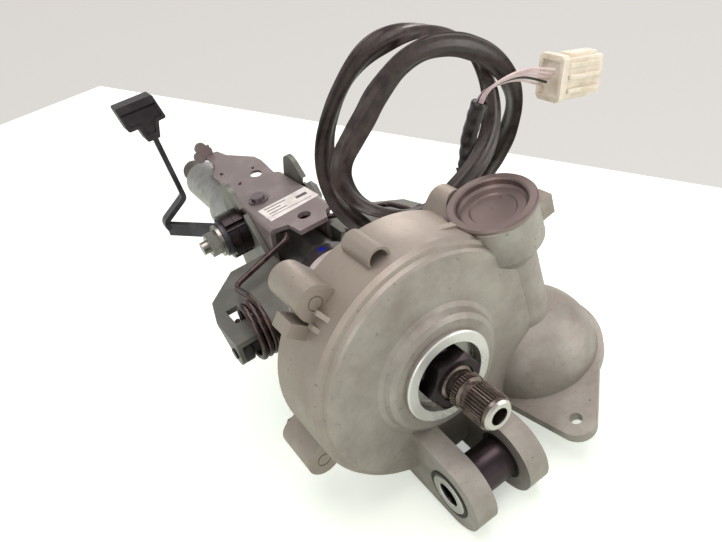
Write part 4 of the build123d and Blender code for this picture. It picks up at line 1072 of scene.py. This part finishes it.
@dataclass
class Studio:
    """Light tent, floor and camera.

    Attributes:
        dome_colour: Colour of the light that the tent gives off.
        dome_strength: Its strength.
        mirrored: Colours of the tent in a reflection, from its foot to its top.
        mirrored_rise: Heights of the view direction where that starts and ends.
        wall: Colours of the tent's wall as the camera sees it, from its foot to its top.
        wall_rise: The same two heights for the wall.
        floor_height: Height of the floor under the lowest point of the part.
        floor_reach: How far the floor goes away from the wall.
        floor_colour: Colour of the floor, a little green.
        floor_light: Colour of the light table as the camera sees it.
        floor_strength: Strength of that light.
        lamp_colour: Colour of the lamps' light, a little warm above the cool floor.
        wall_foot: The tent's far corner and a second point on the right wall's foot.
        camera_place: Where the camera stands.
        camera_axes: The camera's right, up and backward directions.
        lens: Focal length for a 36 mm wide sensor.
        target: Middle of the part, which the lamps are turned to.
    """

    dome_colour: str = "#F7F6F4"
    dome_strength: float = 0.62
    mirrored: tuple[str, str] = ("#F4F5F3", "#A9A9A6")
    mirrored_rise: tuple[float, float] = (-0.05, 0.75)
    wall: tuple[str, str] = ("#E4E1DC", "#D7D2CD")
    wall_rise: tuple[float, float] = (-0.55, 0.05)
    floor_height: float = -0.0215
    floor_reach: float = 4.0
    floor_colour: str = "#E2EBE0"
    floor_light: str = "#FBFFFA"
    floor_strength: float = 0.42
    lamp_colour: str = "#FFF7F5"
    wall_foot: tuple[tuple[float, float], tuple[float, float]] = ((0.051, 0.960), (0.311, 0.077))
    camera_place: Point = (-0.1181, -0.1667, 0.2793)
    camera_axes: tuple[Point, Point, Point] = (
        (0.8114, -0.5482, -0.203), (0.469, 0.4031, 0.7858), (-0.3489, -0.7328, 0.5842))
    lens: float = 32.91
    target: Point = (0.0, 0.10, 0.05)

    def build_world(self) -> None:
        """Light the part with an even pale dome.

        Reflections show it brighter below than above, and past the floor's edge the camera sees
        the tent's grey wall.
        """
        world = bpy.data.worlds.new("tent")
        bpy.context.scene.world = world
        world.use_nodes = True
        tree = world.node_tree
        tree.nodes.clear()
        direction = add_node(tree, "ShaderNodeTexCoord").outputs["Generated"]
        height = add_node(tree, "ShaderNodeSeparateXYZ", {0: direction}).outputs[2]
        mirrored = blend_colours(tree, ramp(tree, height, *self.mirrored_rise), *self.mirrored)
        wall = blend_colours(tree, ramp(tree, height, *self.wall_rise), *self.wall)
        path = add_node(tree, "ShaderNodeLightPath").outputs
        colour = blend_colours(tree, path["Is Camera Ray"], mirrored, wall)
        bounced = sum_of(tree, "MAXIMUM", path["Is Glossy Ray"], path["Is Transmission Ray"])
        seen = sum_of(tree, "MAXIMUM", path["Is Camera Ray"], bounced)
        light = add_node(tree, "ShaderNodeBackground", {
            "Color": linear(self.dome_colour), "Strength": self.dome_strength})
        shown = add_node(tree, "ShaderNodeBackground", {"Color": colour, "Strength": 1.0})
        mix = add_node(tree, "ShaderNodeMixShader", {
            0: seen, 1: light.outputs[0], 2: shown.outputs[0]})
        add_node(tree, "ShaderNodeOutputWorld", {"Surface": mix.outputs[0]})

    def floor_material(self) -> bpy.types.Material:
        """Make the light table's surface, whose own light only the camera sees."""
        material = bpy.data.materials.new("light_table")
        material.use_nodes = True
        tree = material.node_tree
        tree.nodes.clear()
        path = add_node(tree, "ShaderNodeLightPath").outputs
        lit = sum_of(tree, "MULTIPLY", path["Is Camera Ray"], self.floor_strength)
        shader = add_node(tree, "ShaderNodeBsdfPrincipled", {
            "Base Color": linear(self.floor_colour), "Roughness": 0.7,
            "Emission Color": linear(self.floor_light), "Emission Strength": lit})
        add_node(tree, "ShaderNodeOutputMaterial", {"Surface": shader.outputs[0]})
        return material

    def build_floor(self) -> None:
        """Make the white floor, with its edge along the wall's foot."""
        (x0, y0), (x1, y1) = self.wall_foot
        run = (x1 - x0) / (y1 - y0)
        near = -self.floor_reach
        corners = [(near, near), (x1 + run * (near - y1), near), (x0, y0), (near, y0)]
        floor = mesh_object("floor", [(x, y, self.floor_height) for x, y in corners],
                            [(0, 1, 2, 3)], smooth=False)
        floor.data.materials.append(self.floor_material())

    def build_lamps(self) -> None:
        """Hang the soft lamps, each turned to the middle of the part."""
        for lamp in Lamp:
            name = lamp.name.lower()
            data = bpy.data.lights.new(name, "AREA")
            data.shape = "DISK"
            data.size = lamp.diameter
            data.energy = lamp.power
            data.color = linear(self.lamp_colour)[:3]
            obj = bpy.data.objects.new(name, data)
            obj.location = lamp.place
            away = Vector(lamp.place) - Vector(self.target)
            obj.rotation_euler = away.to_track_quat("Z", "Y").to_euler()
            bpy.context.scene.collection.objects.link(obj)

    def build_camera(self) -> None:
        """Stand the camera where the photograph was taken from."""
        data = bpy.data.cameras.new("camera")
        data.sensor_width = 36.0
        data.lens = self.lens
        data.clip_start = 0.01
        data.clip_end = 20.0
        camera = bpy.data.objects.new("camera", data)
        axes = Matrix([Vector(axis) for axis in self.camera_axes]).transposed().to_4x4()
        camera.matrix_world = Matrix.Translation(self.camera_place) @ axes
        bpy.context.scene.collection.objects.link(camera)
        bpy.context.scene.camera = camera

    def build(self) -> None:
        """Set up the whole studio."""
        self.build_world()
        self.build_floor()
        self.build_lamps()
        self.build_camera()
        bpy.context.scene.view_settings.view_transform = "Standard"
        LOG.info("studio ready")


def dress_nodes(materials: Materials) -> None:
    """Give each CAD node its finish."""
    for finish, names in NODE_FINISHES.items():
        for name in names:
            materials.dress(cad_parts[name], finish)
            LOG.info("dressed %s with %s", name, finish.name)


def main() -> None:
    """Build the studio and every piece."""
    logging.basicConfig(level=logging.INFO, format="%(name)s: %(message)s")
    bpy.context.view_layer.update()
    materials = Materials()
    Studio().build()
    dress_nodes(materials)
    SensorHarness().build(materials)
    InspectionLabel().build(materials)


if __name__ == "__main__":
    main()
